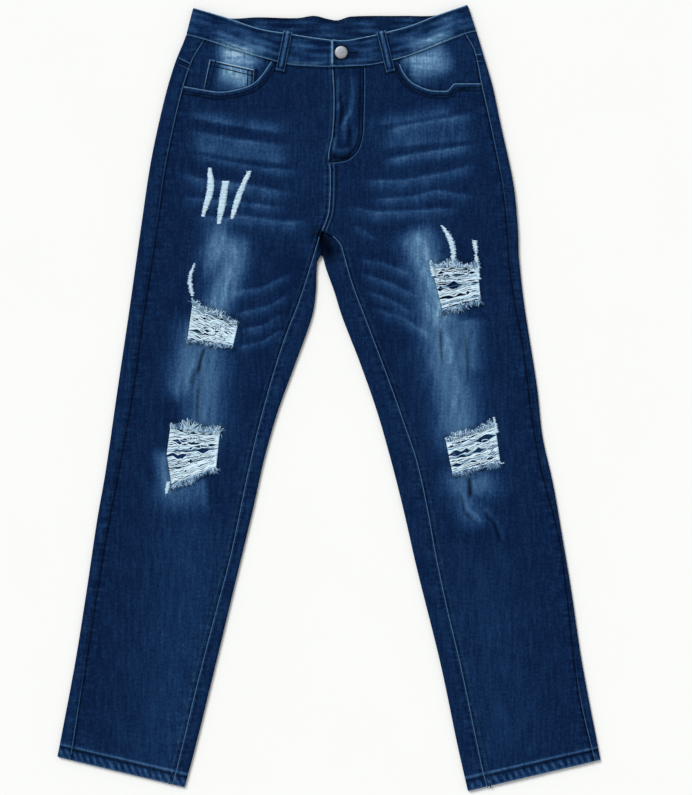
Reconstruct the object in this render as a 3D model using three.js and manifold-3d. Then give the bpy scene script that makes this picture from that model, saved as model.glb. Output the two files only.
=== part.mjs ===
// Ripped five-pocket jeans, laid flat with the front up and the button done up.
// Millimetres, +Z up, waist towards +Y, the wearer's right side at -X.
// The origin is the middle of the outline's box, on the surface that the jeans lie on.
import * as THREE from "three";
import { mergeVertices } from "three/addons/utils/BufferGeometryUtils.js";
import Module from "manifold-3d";

const wasm = await Module();
wasm.setup();

// ---------- Driving dimensions ----------
const DENIM = 1.2; // one layer of cloth
const DOUBLE = 2.2; // two layers pressed together: waistband and turned-up hem
const LINING = 1.0; // pocket facing, coin pocket and the bare threads in a rip
const LOOP = 1.8; // belt loop, folded and stitched flat
const GAP = 0.3; // between two pieces at a seam
const HALF_GAP = GAP / 2;
const WAIST_GAP = 0.6; // along the curved seam under the waistband
const RIM = 5.6; // from the underside to the top at a folded edge
const FOLD_RADIUS = RIM / 2;
const SINK = 2.4; // how far the front settles onto the back between the folded edges
const POCKET_LIFT = DENIM + GAP; // the seat stands off the floor by the back pockets
const LOOP_LIFT = LOOP + GAP; // the waist stands off the floor by the back belt loops
const FLY_RISE = DENIM + GAP; // the left front laps over the right front at the fly
const BAND_RISE = DOUBLE + GAP; // the waistband's left end laps over its right end
const COIN_LIFT = 0.45; // coin pocket above the facing it lies on
const FACING_DROP = DENIM + GAP + LINING + COIN_LIFT; // facing below the front at the pocket mouth
const HEM = 16.5; // depth of the turned-up hem
const LOOP_WIDTH = 11.5;
const FLY_LAP = 3; // how far the right front reaches under the fly's folded edge
const BAND_LAP = 26; // how far the waistband's right end reaches under its left end
const BUTTON_RADIUS = 8.4;
const SHANK_RADIUS = 3;
const BUTTON_AT = new THREE.Vector2(16, 452);
const BUTTONHOLE_END = 37; // x of the buttonhole's far end
const BACK_POCKET_AT = new THREE.Vector2(122, 312); // middle of each patch, from the centre line
const BACK_POCKET = [[-76, 72], [72, 66], [70, -46], [-2, -76], [-74, -42]]; // towards the centre, up

// Heights up the garment, as y.
const HIP = 380;
const SEAT = 330;
const CROTCH = 217;
const FORK = 189; // where the two legs part
const KNEE = 60;
const FLY_FOOT = 308;

// ---------- Small helpers ----------
const mix = THREE.MathUtils.lerp;
const smooth = THREE.MathUtils.smoothstep;

/** A smooth curve through [along, across] points, as a function of along. */
function through(points) {
  const knots = [...points].sort((a, b) => a[0] - b[0]);
  const last = knots.length - 1;
  const slope = (i) => {
    const [before, after] = [knots[Math.max(i - 1, 0)], knots[Math.min(i + 1, last)]];
    return (after[1] - before[1]) / (after[0] - before[0]);
  };
  return (along) => {
    let i = 0;
    while (i < last - 1 && along > knots[i + 1][0]) i += 1;
    const [a, b] = [knots[i], knots[i + 1]];
    const span = b[0] - a[0];
    const t = (along - a[0]) / span;
    if (t < 0) return a[1] + slope(0) * (along - a[0]);
    if (t > 1) return b[1] + slope(last) * (along - b[0]);
    const rise = t * t * (3 - 2 * t);
    const easeIn = t * (1 - t) * (1 - t) * span * slope(i);
    const easeOut = t * t * (t - 1) * span * slope(i + 1);
    return mix(a[1], b[1], rise) + easeIn + easeOut;
  };
}

/** Steps from 0 to 1, both ends included. */
const steps = (count) => Array.from({ length: count + 1 }, (_, i) => i / count);

/**
 * A wall of cloth between two skins of points, [row][column], closed round its edges.
 * A quad (row, column) that isn't there leaves a notch in the wall.
 */
function wall(outer, inner, there = () => true) {
  const [rows, columns] = [outer.length, outer[0].length];
  const positions = [...outer.flat(), ...inner.flat()].flatMap((p) => [p.x, p.y, p.z]);
  const at = (row, column) => row * columns + column;
  const back = rows * columns;
  const index = [];
  const edges = new Map();
  const quad = (a, b, c, d) => index.push(a, b, c, a, c, d);
  for (let r = 0; r < rows - 1; r += 1) {
    for (let c = 0; c < columns - 1; c += 1) {
      if (!there(r, c)) continue;
      const ring = [at(r, c), at(r, c + 1), at(r + 1, c + 1), at(r + 1, c)];
      quad(...ring);
      quad(...ring.map((i) => i + back).reverse());
      ring.forEach((from, i) => edges.set(`${from},${ring[(i + 1) % 4]}`, [from, ring[(i + 1) % 4]]));
    }
  }
  for (const [from, to] of edges.values()) {
    if (!edges.has(`${to},${from}`)) quad(to, from, from + back, to + back);
  }
  const geometry = new THREE.BufferGeometry();
  geometry.setAttribute("position", new THREE.Float32BufferAttribute(positions, 3));
  geometry.setIndex(index);
  return geometry;
}

/** A closed geometry as a solid, whichever way its faces were wound. */
function solidOf(geometry) {
  const plain = geometry.clone();
  plain.deleteAttribute("normal");
  plain.deleteAttribute("uv");
  const merged = mergeVertices(plain, 1e-3);
  const make = (triVerts) =>
    new wasm.Manifold(
      new wasm.Mesh({ numProp: 3, vertProperties: merged.attributes.position.array, triVerts }),
    );
  const solid = make(new Uint32Array(merged.index.array));
  return solid.volume() > 0 ? solid : make(new Uint32Array(merged.index.array).reverse());
}

/** The solid back as a geometry. */
function geometryOf(solid) {
  const mesh = solid.getMesh();
  const geometry = new THREE.BufferGeometry();
  geometry.setAttribute("position", new THREE.BufferAttribute(mesh.vertProperties, 3));
  geometry.setIndex(new THREE.BufferAttribute(mesh.triVerts, 1));
  geometry.computeVertexNormals();
  return geometry;
}

/** A straight-sided plug over an outline in the plane of the floor, tall enough to cut any layer. */
function plug(outline) {
  const shape = new THREE.Shape(outline.map(([x, y]) => new THREE.Vector2(x, y)));
  const geometry = new THREE.ExtrudeGeometry(shape, { depth: 40, bevelEnabled: false });
  geometry.translate(0, 0, -10);
  return solidOf(geometry);
}

// ---------- Outlines of the two sides ----------
// Each curve gives x for a y. out is the way towards the side fold.
const right = {
  name: "right",
  out: -1,
  fold: through([
    [511, -178], [476, -187], [438, -202], [390, -216], [312, -233], [233, -245], [107, -263],
    [13, -277], [-97, -293], [-160, -304], [-254, -318], [-348, -333], [-470, -356],
  ]),
  outseam: through([
    [467, -164], [441, -179], [394, -194], [307, -213], [217, -226], [103, -244], [4, -258],
    [-107, -278], [-186, -293], [-292, -310], [-448, -334], [-472, -338],
  ]),
  inner: through([
    [FORK, -9], [178, -15], [139, -17], [107, -22], [45, -44], [-18, -67], [-81, -85],
    [-144, -99], [-223, -118], [-348, -148], [-458, -175], [-510, -189],
  ]),
  inseam: through([
    [217, -10], [183, -20], [127, -38], [86, -54], [38, -70], [-34, -90], [-103, -106],
    [-208, -128], [-280, -147], [-369, -170], [-489, -199], [-506, -204],
  ]),
  hem: { outer: [-356, -470], inner: [-189, -510] },
  yoke: { fold: 446, outseam: 437 },
  bandCorner: { top: -178, bottom: -187 },
  tailStart: 205,
};
const left = {
  name: "left",
  out: 1,
  fold: through([
    [515, 182], [481, 193], [438, 206], [406, 215], [359, 225], [296, 239], [265, 244], [217, 248],
    [186, 249], [123, 256], [13, 273], [-50, 280], [-113, 294], [-176, 305], [-254, 318],
    [-348, 332], [-474, 356],
  ]),
  outseam: through([
    [475, 179], [455, 190], [413, 199], [355, 212], [280, 227], [234, 233], [159, 239], [67, 255],
    [-26, 267], [-93, 279], [-186, 303], [-278, 315], [-388, 328], [-472, 347],
  ]),
  inner: through([
    [FORK, -9], [170, -4], [139, 7], [107, 17], [45, 41], [-18, 63], [-81, 81],
    [-144, 97], [-223, 115], [-348, 146], [-458, 169], [-515, 182],
  ]),
  inseam: through([
    [217, -9], [215, 0], [207, 10], [200, 15], [190, 18], [149, 30], [99, 49], [25, 77],
    [-37, 99], [-85, 115], [-144, 128], [-210, 140], [-280, 155], [-352, 172], [-485, 200],
    [-508, 206],
  ]),
  hem: { outer: [356, -474], inner: [182, -515] },
  yoke: { fold: 449, outseam: 449 },
  bandCorner: { top: 182, bottom: 193 },
  tailStart: 212,
};
const SIDES = [right, left];

const centreFront = through([
  [434, 4], [390, 6], [347, 4], [318, -1], [297, 1], [244, -1], [217, -10],
]);
const CENTRE_BACK = -9;

// Edges of the waistband: y for an x.
const bandTopFront = through([
  [-178, 511], [-134, 498], [-93, 484], [-59, 478], [-6, 470], [22, 468], [49, 473], [75, 479],
  [105, 487], [144, 502], [182, 515],
]);
const waistFront = through([
  [-187, 476], [-160, 469], [-118, 455], [-79, 444], [-52, 437], [-26, 435], [1, 434], [49, 436],
  [89, 444], [122, 455], [155, 468], [181, 478], [193, 481],
]);
const bandTopBack = through([
  [-178, 511], [-134, 498], [-93, 499], [-42, 498], [-19, 501], [-2, 497], [11, 495], [28, 500],
  [97, 501], [143, 502], [182, 515],
]);
const waistBack = through([
  [-187, 476], [-150, 469], [-100, 465], [-50, 463], [0, 462], [60, 464], [110, 467], [155, 472],
  [193, 481],
]);

// Front pocket mouths: y for an x.
const mouthRight = through([
  [-200, 409], [-189, 408], [-166, 404], [-144, 401], [-126, 403], [-107, 408], [-94, 416],
  [-84, 428], [-76, 440], [-66, 456],
]);
const mouthLeftCurve = through([
  [81, 460], [91, 442], [97, 428], [107, 415], [119, 408], [134, 403], [157, 402],
]);
const mouthLeft = (x) => mix(mouthLeftCurve(Math.min(x, 157)), 412, smooth(x, 157, 162));

// ---------- Heights ----------
/** Height of the underside at y: the legs lie on the floor, the seat on its pockets and loops. */
function under(y) {
  const seat = POCKET_LIFT * smooth(y, 120, 225);
  return seat + (LOOP_LIFT - POCKET_LIFT) * smooth(y, 395, 425);
}

// The largest soft folds of the front: a line, how far it reaches each side, and its height.
const FOLDS = [
  { from: [-222, 268], to: [-60, 232], reach: 16, height: 0.7 },
  { from: [-190, 190], to: [-40, 200], reach: 16, height: 0.6 },
  { from: [60, 238], to: [210, 262], reach: 16, height: 0.7 },
  { from: [40, 190], to: [190, 200], reach: 16, height: 0.6 },
  { from: [-150, 120], to: [-62, 96], reach: 15, height: 0.9 },
  { from: [48, 170], to: [150, 118], reach: 15, height: 0.9 },
  { from: [-196, -130], to: [-128, -150], reach: 16, height: 1.0 },
  { from: [176, -122], to: [226, -172], reach: 14, height: 1.2 },
  { from: [-270, -300], to: [-170, -330], reach: 20, height: 0.8 },
  { from: [180, -330], to: [290, -300], reach: 20, height: 0.8 },
];

/** How far the soft folds lift the front at a point. */
function foldLift(x, y) {
  const point = new THREE.Vector3(x, y, 0);
  const nearest = new THREE.Vector3();
  return FOLDS.reduce((sum, { from, to, reach, height }) => {
    const line = new THREE.Line3(new THREE.Vector3(...from, 0), new THREE.Vector3(...to, 0));
    line.closestPointToPoint(point, true, nearest);
    return sum + height * Math.exp(-((point.distanceTo(nearest) / reach) ** 2));
  }, 0);
}

/** Height of the front's upper side: full at the folded edges, settled between them. */
function over(side, x, y) {
  const fromFold = Math.abs(x - side.fold(y));
  const fromInner = y < FORK ? Math.abs(x - side.inner(y)) : RIM * 20;
  const between = smooth(fromFold, 12, 55) * smooth(fromInner, 12, 55);
  const hemLine = hemAt(side, x);
  const settled = SINK * (1 - smooth(y, KNEE, FORK - 20)) * smooth(y - hemLine, HEM, HEM * 5);
  return under(y) + RIM + between * (foldLift(x, y) - settled);
}

/** Height added where the left front's folded edge laps over the right front. */
function flyRise(x, y) {
  const fromEdge = x - centreFront(y);
  return FLY_RISE * (1 - smooth(fromEdge, 6, 30)) * smooth(y, FLY_FOOT - 16, FLY_FOOT);
}

// ---------- Rows across a piece ----------
function hemAt(side, x) {
  const [[x0, y0], [x1, y1]] = [side.hem.outer, side.hem.inner];
  return y0 + ((x - x0) * (y1 - y0)) / (x1 - x0);
}

/** y of the row at v, where whole numbers are the given key rows from waist to hem. */
function rowY(keys, v, x) {
  const i = Math.min(Math.floor(v), keys.length - 2);
  return mix(keys[i](x), keys[i + 1](x), v - i);
}

/** The point where a row meets an edge that gives x for y. */
function meet(keys, v, edge) {
  let y = rowY(keys, v, edge(HIP));
  for (let turn = 0; turn < 12; turn += 1) y = rowY(keys, v, edge(y));
  return new THREE.Vector2(edge(y), y);
}

// Rows at set heights between the hip and the knee, then even rows down to the hem.
const CROTCH_ROWS = [352, 325, 310, 292, 270, 245, CROTCH, 215, 212, 205, 200, FORK, 178, 163, 145, 118, 90];
const rowAt = (from, y) => 1 + (from - y) / (from - KNEE);
const HEM_START = 3 - HEM / 550;
const legRows = (from, heights) => [
  ...heights.map((y) => rowAt(from, y)),
  ...steps(12).map((t) => mix(2, HEM_START - 0.006, t)),
  HEM_START,
  3,
];
const clothAt = (v) => (v >= HEM_START ? DOUBLE : DENIM);

// ---------- Pieces ----------
const group = new THREE.Group();
const finish = (colour, roughness, metalness = 0) => () =>
  new THREE.MeshStandardMaterial({ color: colour, roughness, metalness });
const denim = finish(0x16305c, 0.85);
const fadedDenim = finish(0x5f8bb0, 0.88);
const bareThread = finish(0xd9e6ee, 0.95);
const metal = finish(0xc9c9cb, 0.35, 1);

function addPiece(name, solid, material) {
  const mesh = new THREE.Mesh(geometryOf(solid), material());
  mesh.name = name;
  group.add(mesh);
}

/** Front panel, from the outseam to the centre front and the inseam. */
function frontPanel(side) {
  const isLeft = side === left;
  const keys = [waistFront, () => HIP, () => KNEE, (x) => hemAt(side, x)];
  const lap = (y) => (isLeft ? 0 : (FLY_LAP + HALF_GAP) * smooth(y, FLY_FOOT + 5, FLY_FOOT + 17));
  const outerEdge = (y) => side.outseam(y) - side.out * HALF_GAP;
  const innerEdge = (y) => {
    const seam = y > CROTCH ? centreFront(y) + lap(y) : side.inseam(y);
    return seam + side.out * HALF_GAP;
  };
  const columns = isLeft ? [0, 0.14, 0.28, 0.43, 0.58, 0.72, 0.85, 0.93, 0.975, 1] : steps(8);
  const topRow = WAIST_GAP / (waistFront(0) - HIP);
  const rows = [...steps(3).map((t) => mix(topRow, 1, t)), ...legRows(HIP, CROTCH_ROWS)];
  const top = rows.map((v) => {
    const [from, to] = [meet(keys, v, outerEdge), meet(keys, v, innerEdge)];
    return columns.map((u) => {
      const x = mix(from.x, to.x, u);
      const bow = rowY(keys, v, x) - mix(rowY(keys, v, from.x), rowY(keys, v, to.x), u);
      const y = mix(from.y, to.y, u) + bow;
      return new THREE.Vector3(x, y, over(side, x, y) + (isLeft ? flyRise(x, y) : 0));
    });
  });
  const below = top.map((row, r) => row.map((p) => new THREE.Vector3(p.x, p.y, p.z - clothAt(rows[r]))));
  return solidOf(wall(top, below));
}

/** Seam between the yoke and the back panel: y for an x, on the top and on the underside. */
const yokeSeamTop = (side) => (x) => {
  const [fold, seam] = [side.fold(side.yoke.fold), side.outseam(side.yoke.outseam)];
  return mix(side.yoke.fold, side.yoke.outseam, (x - fold) / (seam - fold));
};
const yokeSeamUnder = (side) => (x) =>
  mix(side.yoke.fold, 395, (x - side.fold(side.yoke.fold)) / (CENTRE_BACK - side.fold(side.yoke.fold)));

const QUARTER = Math.PI / 4;
const UNDER_STEPS = [0.14, 0.38, 0.62, 0.86];
const YOKE_STEPS = [0.06, 0.13, 0.21, 0.32, 0.46, 0.62, 0.8];

/**
 * One row of cloth that starts at the outseam on top, turns round the side fold, runs under the
 * leg and, below the fork, turns up round the inner fold to the inseam on top.
 */
function wrapRow(side, topKeys, underKeys, v, cloth, tail, underSteps = UNDER_STEPS) {
  const inward = -side.out;
  const seam = meet(topKeys, v, (y) => side.outseam(y) + side.out * HALF_GAP);
  const fold = meet(topKeys, v, side.fold);
  const base = under(fold.y);
  const outer = [];
  const inner = [];
  const add = (x, y, z, dx, dz) => {
    outer.push(new THREE.Vector3(x, y, z));
    inner.push(new THREE.Vector3(x + dx * cloth, y, z + dz * cloth));
  };
  const onTop = (x) => {
    const y = rowY(topKeys, v, x);
    add(x, y, over(side, x, y), 0, -1);
  };
  const arc = (edgeX, low, towards, turns, spread = FOLD_RADIUS) =>
    turns.forEach((turn) => {
      const [across, up] = [Math.sin(turn), Math.cos(turn)];
      const x = edgeX + towards * spread * (1 - across);
      add(
        x,
        rowY(up > 0 ? topKeys : underKeys, v, x),
        low + FOLD_RADIUS * (1 + up),
        towards * across * Math.min(1, (spread - 0.5) / cloth),
        -up,
      );
    });
  onTop(seam.x);
  onTop(mix(seam.x, fold.x + inward * FOLD_RADIUS, 0.5));
  arc(fold.x, base, inward, steps(4).map((t) => t * 4 * QUARTER));
  const seated = (y) => (y >= FORK ? CENTRE_BACK : side.inner(y)) + side.out * HALF_GAP;
  const innerAt = meet(underKeys, v, seated);
  const tailX = tail ? innerAt.x + side.out * FOLD_RADIUS : innerAt.x;
  const startX = fold.x + inward * FOLD_RADIUS;
  underSteps.forEach((t) => {
    const x = mix(startX, tailX, t);
    const y = rowY(underKeys, v, x);
    add(x, y, under(y), 0, 1);
  });
  if (!tail) {
    add(tailX, innerAt.y, under(innerAt.y), 0, 1);
    // Rows above the fork have no tail: its columns repeat the last point and are left out.
    for (let i = 0; i < 5; i += 1) add(tailX, innerAt.y, under(innerAt.y), 0, 1);
    return { outer, inner };
  }
  const low = under(innerAt.y);
  const inseam = meet(topKeys, v, (y) => side.inseam(y) - side.out * HALF_GAP);
  const halfTop = Math.abs(inseam.x - innerAt.x) / 2;
  arc(innerAt.x, low, side.out, [4 * QUARTER, 3 * QUARTER, 2 * QUARTER]);
  arc(innerAt.x, low, side.out, [QUARTER, 0], Math.min(FOLD_RADIUS, halfTop));
  onTop(inseam.x);
  return { outer, inner };
}

/** Yoke: the strip of the back between the waistband and the yoke seam, round the side fold. */
function yoke(side) {
  const topKeys = [(x) => waistFront(x) - WAIST_GAP, (x) => yokeSeamTop(side)(x) + HALF_GAP];
  const underKeys = [(x) => waistBack(x) - WAIST_GAP, (x) => yokeSeamUnder(side)(x) + HALF_GAP];
  const rows = steps(3).map((v) => wrapRow(side, topKeys, underKeys, v, DENIM, false, YOKE_STEPS));
  const lastColumn = rows[0].outer.length - 6;
  const skins = ["outer", "inner"].map((skin) => rows.map((row) => row[skin]));
  return solidOf(wall(...skins, (r, c) => c < lastColumn));
}

/** Back panel, wrapped round the side fold and, on the leg, round the inner fold. */
function backPanel(side) {
  const hem = (x) => hemAt(side, x);
  const topKeys = [(x) => yokeSeamTop(side)(x) - HALF_GAP, () => SEAT, () => KNEE, hem];
  const underKeys = [(x) => yokeSeamUnder(side)(x) - HALF_GAP, () => SEAT, () => KNEE, hem];
  const atFork = [212, 205, 200].filter((y) => y <= side.tailStart);
  const heights = [300, 270, 240, 222, ...atFork, FORK, 178, 160, 140, 115, 88];
  const rows = [...steps(3), ...legRows(SEAT, heights)];
  const tailFrom = rowAt(SEAT, side.tailStart) - 1e-6;
  const made = rows.map((v) => wrapRow(side, topKeys, underKeys, v, clothAt(v), v >= tailFrom));
  const lastColumn = made[0].outer.length - 6;
  const skins = ["outer", "inner"].map((skin) => made.map((row) => row[skin]));
  return solidOf(wall(...skins, (r, c) => c < lastColumn || rows[r] >= tailFrom));
}

/** Outline of the part of a front that the pocket mouth cuts away. */
function mouthOutline(side, mouth, end) {
  const start = side.out * 215;
  const curve = steps(28).map((t) => {
    const x = mix(start, end, t);
    return [x, mouth(x)];
  });
  return [...curve, [end, 520], [start, 520]];
}

/** Grid of the pocket facing's upper side, from under the pocket mouth up to the waist seam. */
function facingGrid(side, mouth, end) {
  const columns = steps(9);
  const rises = [-22, -11, -2];
  const shares = [0.12, 0.3, 0.5, 0.75, 1];
  const point = (u, place) => {
    let y = HIP + 30;
    let x = 0;
    for (let turn = 0; turn < 12; turn += 1) {
      x = mix(side.outseam(y) - side.out * 2 * GAP, end, u);
      const seam = waistFront(x) - WAIST_GAP;
      y = place(Math.min(mouth(x), seam - 2.5), seam);
    }
    const low = Math.min(mouth(x), waistFront(x) - WAIST_GAP - 2.5);
    const drop = FACING_DROP * (1 - smooth(y - low, 3, 26));
    return new THREE.Vector3(x, y, under(y) + RIM - drop);
  };
  const places = [
    ...rises.map((rise) => (low) => low + rise),
    ...shares.map((share) => (low, seam) => mix(low, seam, share)),
  ];
  return places.map((place) => columns.map((u) => point(u, place)));
}

const lowered = (grid, depth) => grid.map((row) => row.map((p) => new THREE.Vector3(p.x, p.y, p.z - depth)));

/** A point on a grid of points at fractional row and column. */
function onGrid(grid, row, column) {
  const r = Math.min(Math.floor(row), grid.length - 2);
  const c = Math.min(Math.floor(column), grid[0].length - 2);
  const [a, b] = [row - r, column - c];
  const low = grid[r][c].clone().lerp(grid[r][c + 1], b);
  return low.lerp(grid[r + 1][c].clone().lerp(grid[r + 1][c + 1], b), a);
}

/** Coin pocket, laid on the right facing and tucked under the pocket mouth. */
function coinPocket(facing) {
  const [first, last] = [1.1, 6.1];
  const columns = [first, 2, 3, 4, 5, last];
  const top = [2, 3, 4, 5, 1].map((row, i) =>
    columns.map((column) => {
      const across = (column - first) / (last - first);
      const p = onGrid(facing, i < 4 ? row : mix(5.55, 5.15, across), column);
      p.z += COIN_LIFT + LINING;
      return p;
    }),
  );
  return solidOf(wall(top, lowered(top, LINING)));
}

/** Waistband: one folded strip round the waist, open at the front, left end over right end. */
function waistband() {
  const stations = [];
  const station = (topX, bottomX, height, turn) => {
    const [top, bottom] = Math.cos(turn) > -0.1 ? [bandTopFront, waistFront] : [bandTopBack, waistBack];
    stations.push({ topX, bottomX, topY: top(topX), bottomY: bottom(bottomX), height, turn });
  };
  const front = (from, side, reversed) => {
    const line = steps(12).map((t) => {
      const bottomX = mix(from, side.bandCorner.bottom - side.out * FOLD_RADIUS, t);
      const topX = mix(from, side.bandCorner.top - side.out * FOLD_RADIUS, t);
      const lap = side === left ? BAND_RISE * (1 - smooth(bottomX, 33, 50)) : 0;
      return [topX, bottomX, RIM + lap, 0];
    });
    (reversed ? line.reverse() : line).forEach((args) => station(...args));
  };
  const arc = (side, turns) => {
    const { top, bottom } = side.bandCorner;
    turns.forEach((turn) => {
      const inset = side.out * FOLD_RADIUS * (1 - Math.sin(turn));
      station(top - inset, bottom - inset, FOLD_RADIUS * (1 + Math.cos(turn)), side.out * turn);
    });
  };
  const turns = [QUARTER, 2 * QUARTER, 3 * QUARTER];
  front(centreFront(434), left, false);
  arc(left, turns);
  steps(16).forEach((t) => {
    const bottomX = mix(left.bandCorner.bottom - FOLD_RADIUS, right.bandCorner.bottom + FOLD_RADIUS, t);
    const topX = mix(left.bandCorner.top - FOLD_RADIUS, right.bandCorner.top + FOLD_RADIUS, t);
    station(topX, bottomX, 0, 4 * QUARTER);
  });
  arc(right, [...turns].reverse());
  front(centreFront(434) - GAP, right, true);
  const lapEnd = centreFront(434) + BAND_LAP;
  station(lapEnd, lapEnd, RIM, 0);
  const across = [0, 0.5, 1];
  const grid = (depth) =>
    stations.map((s) =>
      across.map((t) => {
        const x = mix(s.bottomX, s.topX, t);
        const y = mix(s.bottomY, s.topY, t);
        return new THREE.Vector3(
          x - Math.sin(s.turn) * depth,
          y,
          under(450) + s.height - Math.cos(s.turn) * depth,
        );
      }),
    );
  const hole = [[BUTTON_AT.x, BUTTON_AT.y - 0.8], [BUTTONHOLE_END, BUTTON_AT.y - 0.8]];
  const slit = [...hole, [BUTTONHOLE_END, BUTTON_AT.y + 0.8], [BUTTON_AT.x, BUTTON_AT.y + 0.8]];
  const eye = steps(12)
    .slice(0, -1)
    .map((t) => t * 2 * Math.PI)
    .map((a) => [
      BUTTON_AT.x + (SHANK_RADIUS + GAP * 2) * Math.cos(a),
      BUTTON_AT.y + (SHANK_RADIUS + GAP * 2) * Math.sin(a),
    ]);
  const cutter = plug(slit).add(plug(eye));
  const lapTop = under(450) + RIM + HALF_GAP;
  return solidOf(wall(grid(0), grid(DOUBLE))).subtract(cutter.trimByPlane([0, 0, 1], lapTop));
}

/** Belt loop: a flat strip laid on the waistband, from [x, y] down to [x, y]. */
function beltLoop(from, to, heightAt) {
  const [start, end] = [new THREE.Vector2(...from), new THREE.Vector2(...to)];
  const across = end.clone().sub(start).normalize().rotateAround(new THREE.Vector2(), Math.PI / 2);
  const top = steps(6).map((t) =>
    [-0.5, 0.5].map((s) => {
      const p = start.clone().lerp(end, t).addScaledVector(across, s * LOOP_WIDTH);
      return new THREE.Vector3(p.x, p.y, heightAt(p) + LOOP);
    }),
  );
  return solidOf(wall(top, lowered(top, LOOP)));
}

/** Back pocket: a plain five-sided patch under the seat. */
function backPocket(side) {
  const shape = new THREE.Shape(
    BACK_POCKET.map(([x, y]) => new THREE.Vector2(side.out * (BACK_POCKET_AT.x - x), BACK_POCKET_AT.y + y)),
  );
  const geometry = new THREE.ExtrudeGeometry(shape, { depth: DENIM, bevelEnabled: false });
  return solidOf(geometry);
}

/** Jeans button: a domed cap on a shank that stands in the buttonhole. */
function button() {
  const foot = under(450) + RIM + GAP;
  const lapTop = under(450) + RIM + BAND_RISE + GAP;
  const profile = [
    [0, foot],
    [SHANK_RADIUS, foot],
    [SHANK_RADIUS, lapTop],
    [BUTTON_RADIUS - 0.8, lapTop],
    [BUTTON_RADIUS, lapTop + 0.7],
    [BUTTON_RADIUS - 0.4, lapTop + 1.7],
    [BUTTON_RADIUS * 0.6, lapTop + 2.3],
    [0, lapTop + 2.6],
  ].map(([radius, z]) => new THREE.Vector2(radius, z));
  const geometry = new THREE.LatheGeometry(profile, 20);
  geometry.rotateX(Math.PI / 2);
  geometry.translate(BUTTON_AT.x, BUTTON_AT.y, 0);
  return solidOf(geometry);
}

// ---------- Rips ----------
// Each rip is a hole worn in a front, crossed by its bare threads.
const RIPS = [
  { name: "right_thigh", side: right, outline: [[-179, 124], [-119, 97], [-126, 67], [-186, 76]] },
  { name: "left_thigh", side: left, outline: [[134, 173], [195, 172], [199, 128], [149, 114]] },
  {
    name: "right_knee",
    side: right,
    outline: [[-208, -38], [-143, -47], [-148, -92], [-206, -117], [-213, -73]],
  },
  { name: "left_knee", side: left, outline: [[153, -56], [218, -35], [225, -85], [162, -100]] },
];

/** An outline drawn in towards its middle by a set distance at its corners. */
function drawnIn(outline, distance) {
  const middle = outline.reduce(([a, b], [x, y]) => [a + x, b + y], [0, 0]).map((v) => v / outline.length);
  return outline.map(([x, y]) => {
    const reach = Math.hypot(x - middle[0], y - middle[1]);
    return [0, 1].map((i) => mix([x, y][i], middle[i], distance / reach));
  });
}

/** The bare threads of a rip: a thin wall that fills its hole, a little below the cloth. */
function ripThreads(front, outline) {
  const below = front.translate([0, 0, -HALF_GAP]).subtract(front.translate([0, 0, -DENIM + HALF_GAP]));
  return below.intersect(plug(drawnIn(outline, GAP * 2)));
}

// ---------- Assembly ----------
const MOUTHS = new Map([
  [right, { mouth: mouthRight, end: -66, facingEnd: -52 }],
  [left, { mouth: mouthLeft, end: 81, facingEnd: 68 }],
]);

for (const side of SIDES) {
  const { mouth, end, facingEnd } = MOUTHS.get(side);
  const whole = frontPanel(side);
  let front = whole.subtract(plug(mouthOutline(side, mouth, end)));
  for (const rip of RIPS.filter((r) => r.side === side)) {
    front = front.subtract(plug(rip.outline));
    addPiece(`rip_threads_${rip.name}`, ripThreads(whole, rip.outline), bareThread);
  }
  addPiece(`front_${side.name}`, front, denim);
  addPiece(`back_${side.name}`, backPanel(side), denim);
  addPiece(`yoke_${side.name}`, yoke(side), denim);
  const facing = facingGrid(side, mouth, facingEnd);
  addPiece(`pocket_facing_${side.name}`, solidOf(wall(facing, lowered(facing, LINING))), fadedDenim);
  if (side === right) addPiece("coin_pocket", coinPocket(facing), fadedDenim);
  addPiece(`back_pocket_${side.name}`, backPocket(side), denim);
}
addPiece("waistband", waistband(), denim);
addPiece("button", button(), metal);

const overWaist = (p) => under(p.y) + RIM + GAP;
addPiece("belt_loop_front_right", beltLoop([-53.5, 480], [-64, 428], overWaist), denim);
addPiece("belt_loop_front_left", beltLoop([68, 480], [81, 427], overWaist), denim);
const BACK_LOOPS = { right: -112, centre: CENTRE_BACK, left: 100 };
for (const [place, x] of Object.entries(BACK_LOOPS)) {
  addPiece(`belt_loop_back_${place}`, beltLoop([x, 492], [x, 440], () => 0), denim);
}

export default group;
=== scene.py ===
"""Ripped five-pocket jeans, laid flat with the front up and the button done up.

Lengths are millimetres until a mesh is made, and metres from there on. +Z is up, the waist is
towards +Y, the wearer's right side is at -X, and the floor is at 0.
"""

from __future__ import annotations

import logging
import math
from collections.abc import Callable, Sequence
from dataclasses import dataclass, field
from enum import Enum
from functools import lru_cache, partial
from itertools import pairwise

import bmesh
import bpy
import numpy as np
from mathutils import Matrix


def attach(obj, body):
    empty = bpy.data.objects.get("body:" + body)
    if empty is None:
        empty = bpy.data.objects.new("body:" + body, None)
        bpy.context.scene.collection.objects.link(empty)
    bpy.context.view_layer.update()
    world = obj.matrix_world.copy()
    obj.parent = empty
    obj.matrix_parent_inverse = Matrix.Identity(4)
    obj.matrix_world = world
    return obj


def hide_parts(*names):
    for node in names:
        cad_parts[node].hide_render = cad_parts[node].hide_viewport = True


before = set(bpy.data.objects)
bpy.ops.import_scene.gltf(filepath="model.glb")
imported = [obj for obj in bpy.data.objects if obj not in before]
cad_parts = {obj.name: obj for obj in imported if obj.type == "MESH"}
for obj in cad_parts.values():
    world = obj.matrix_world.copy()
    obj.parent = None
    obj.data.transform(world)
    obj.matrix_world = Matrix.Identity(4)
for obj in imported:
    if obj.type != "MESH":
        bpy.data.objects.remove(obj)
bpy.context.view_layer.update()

log = logging.getLogger("jeans")
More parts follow.
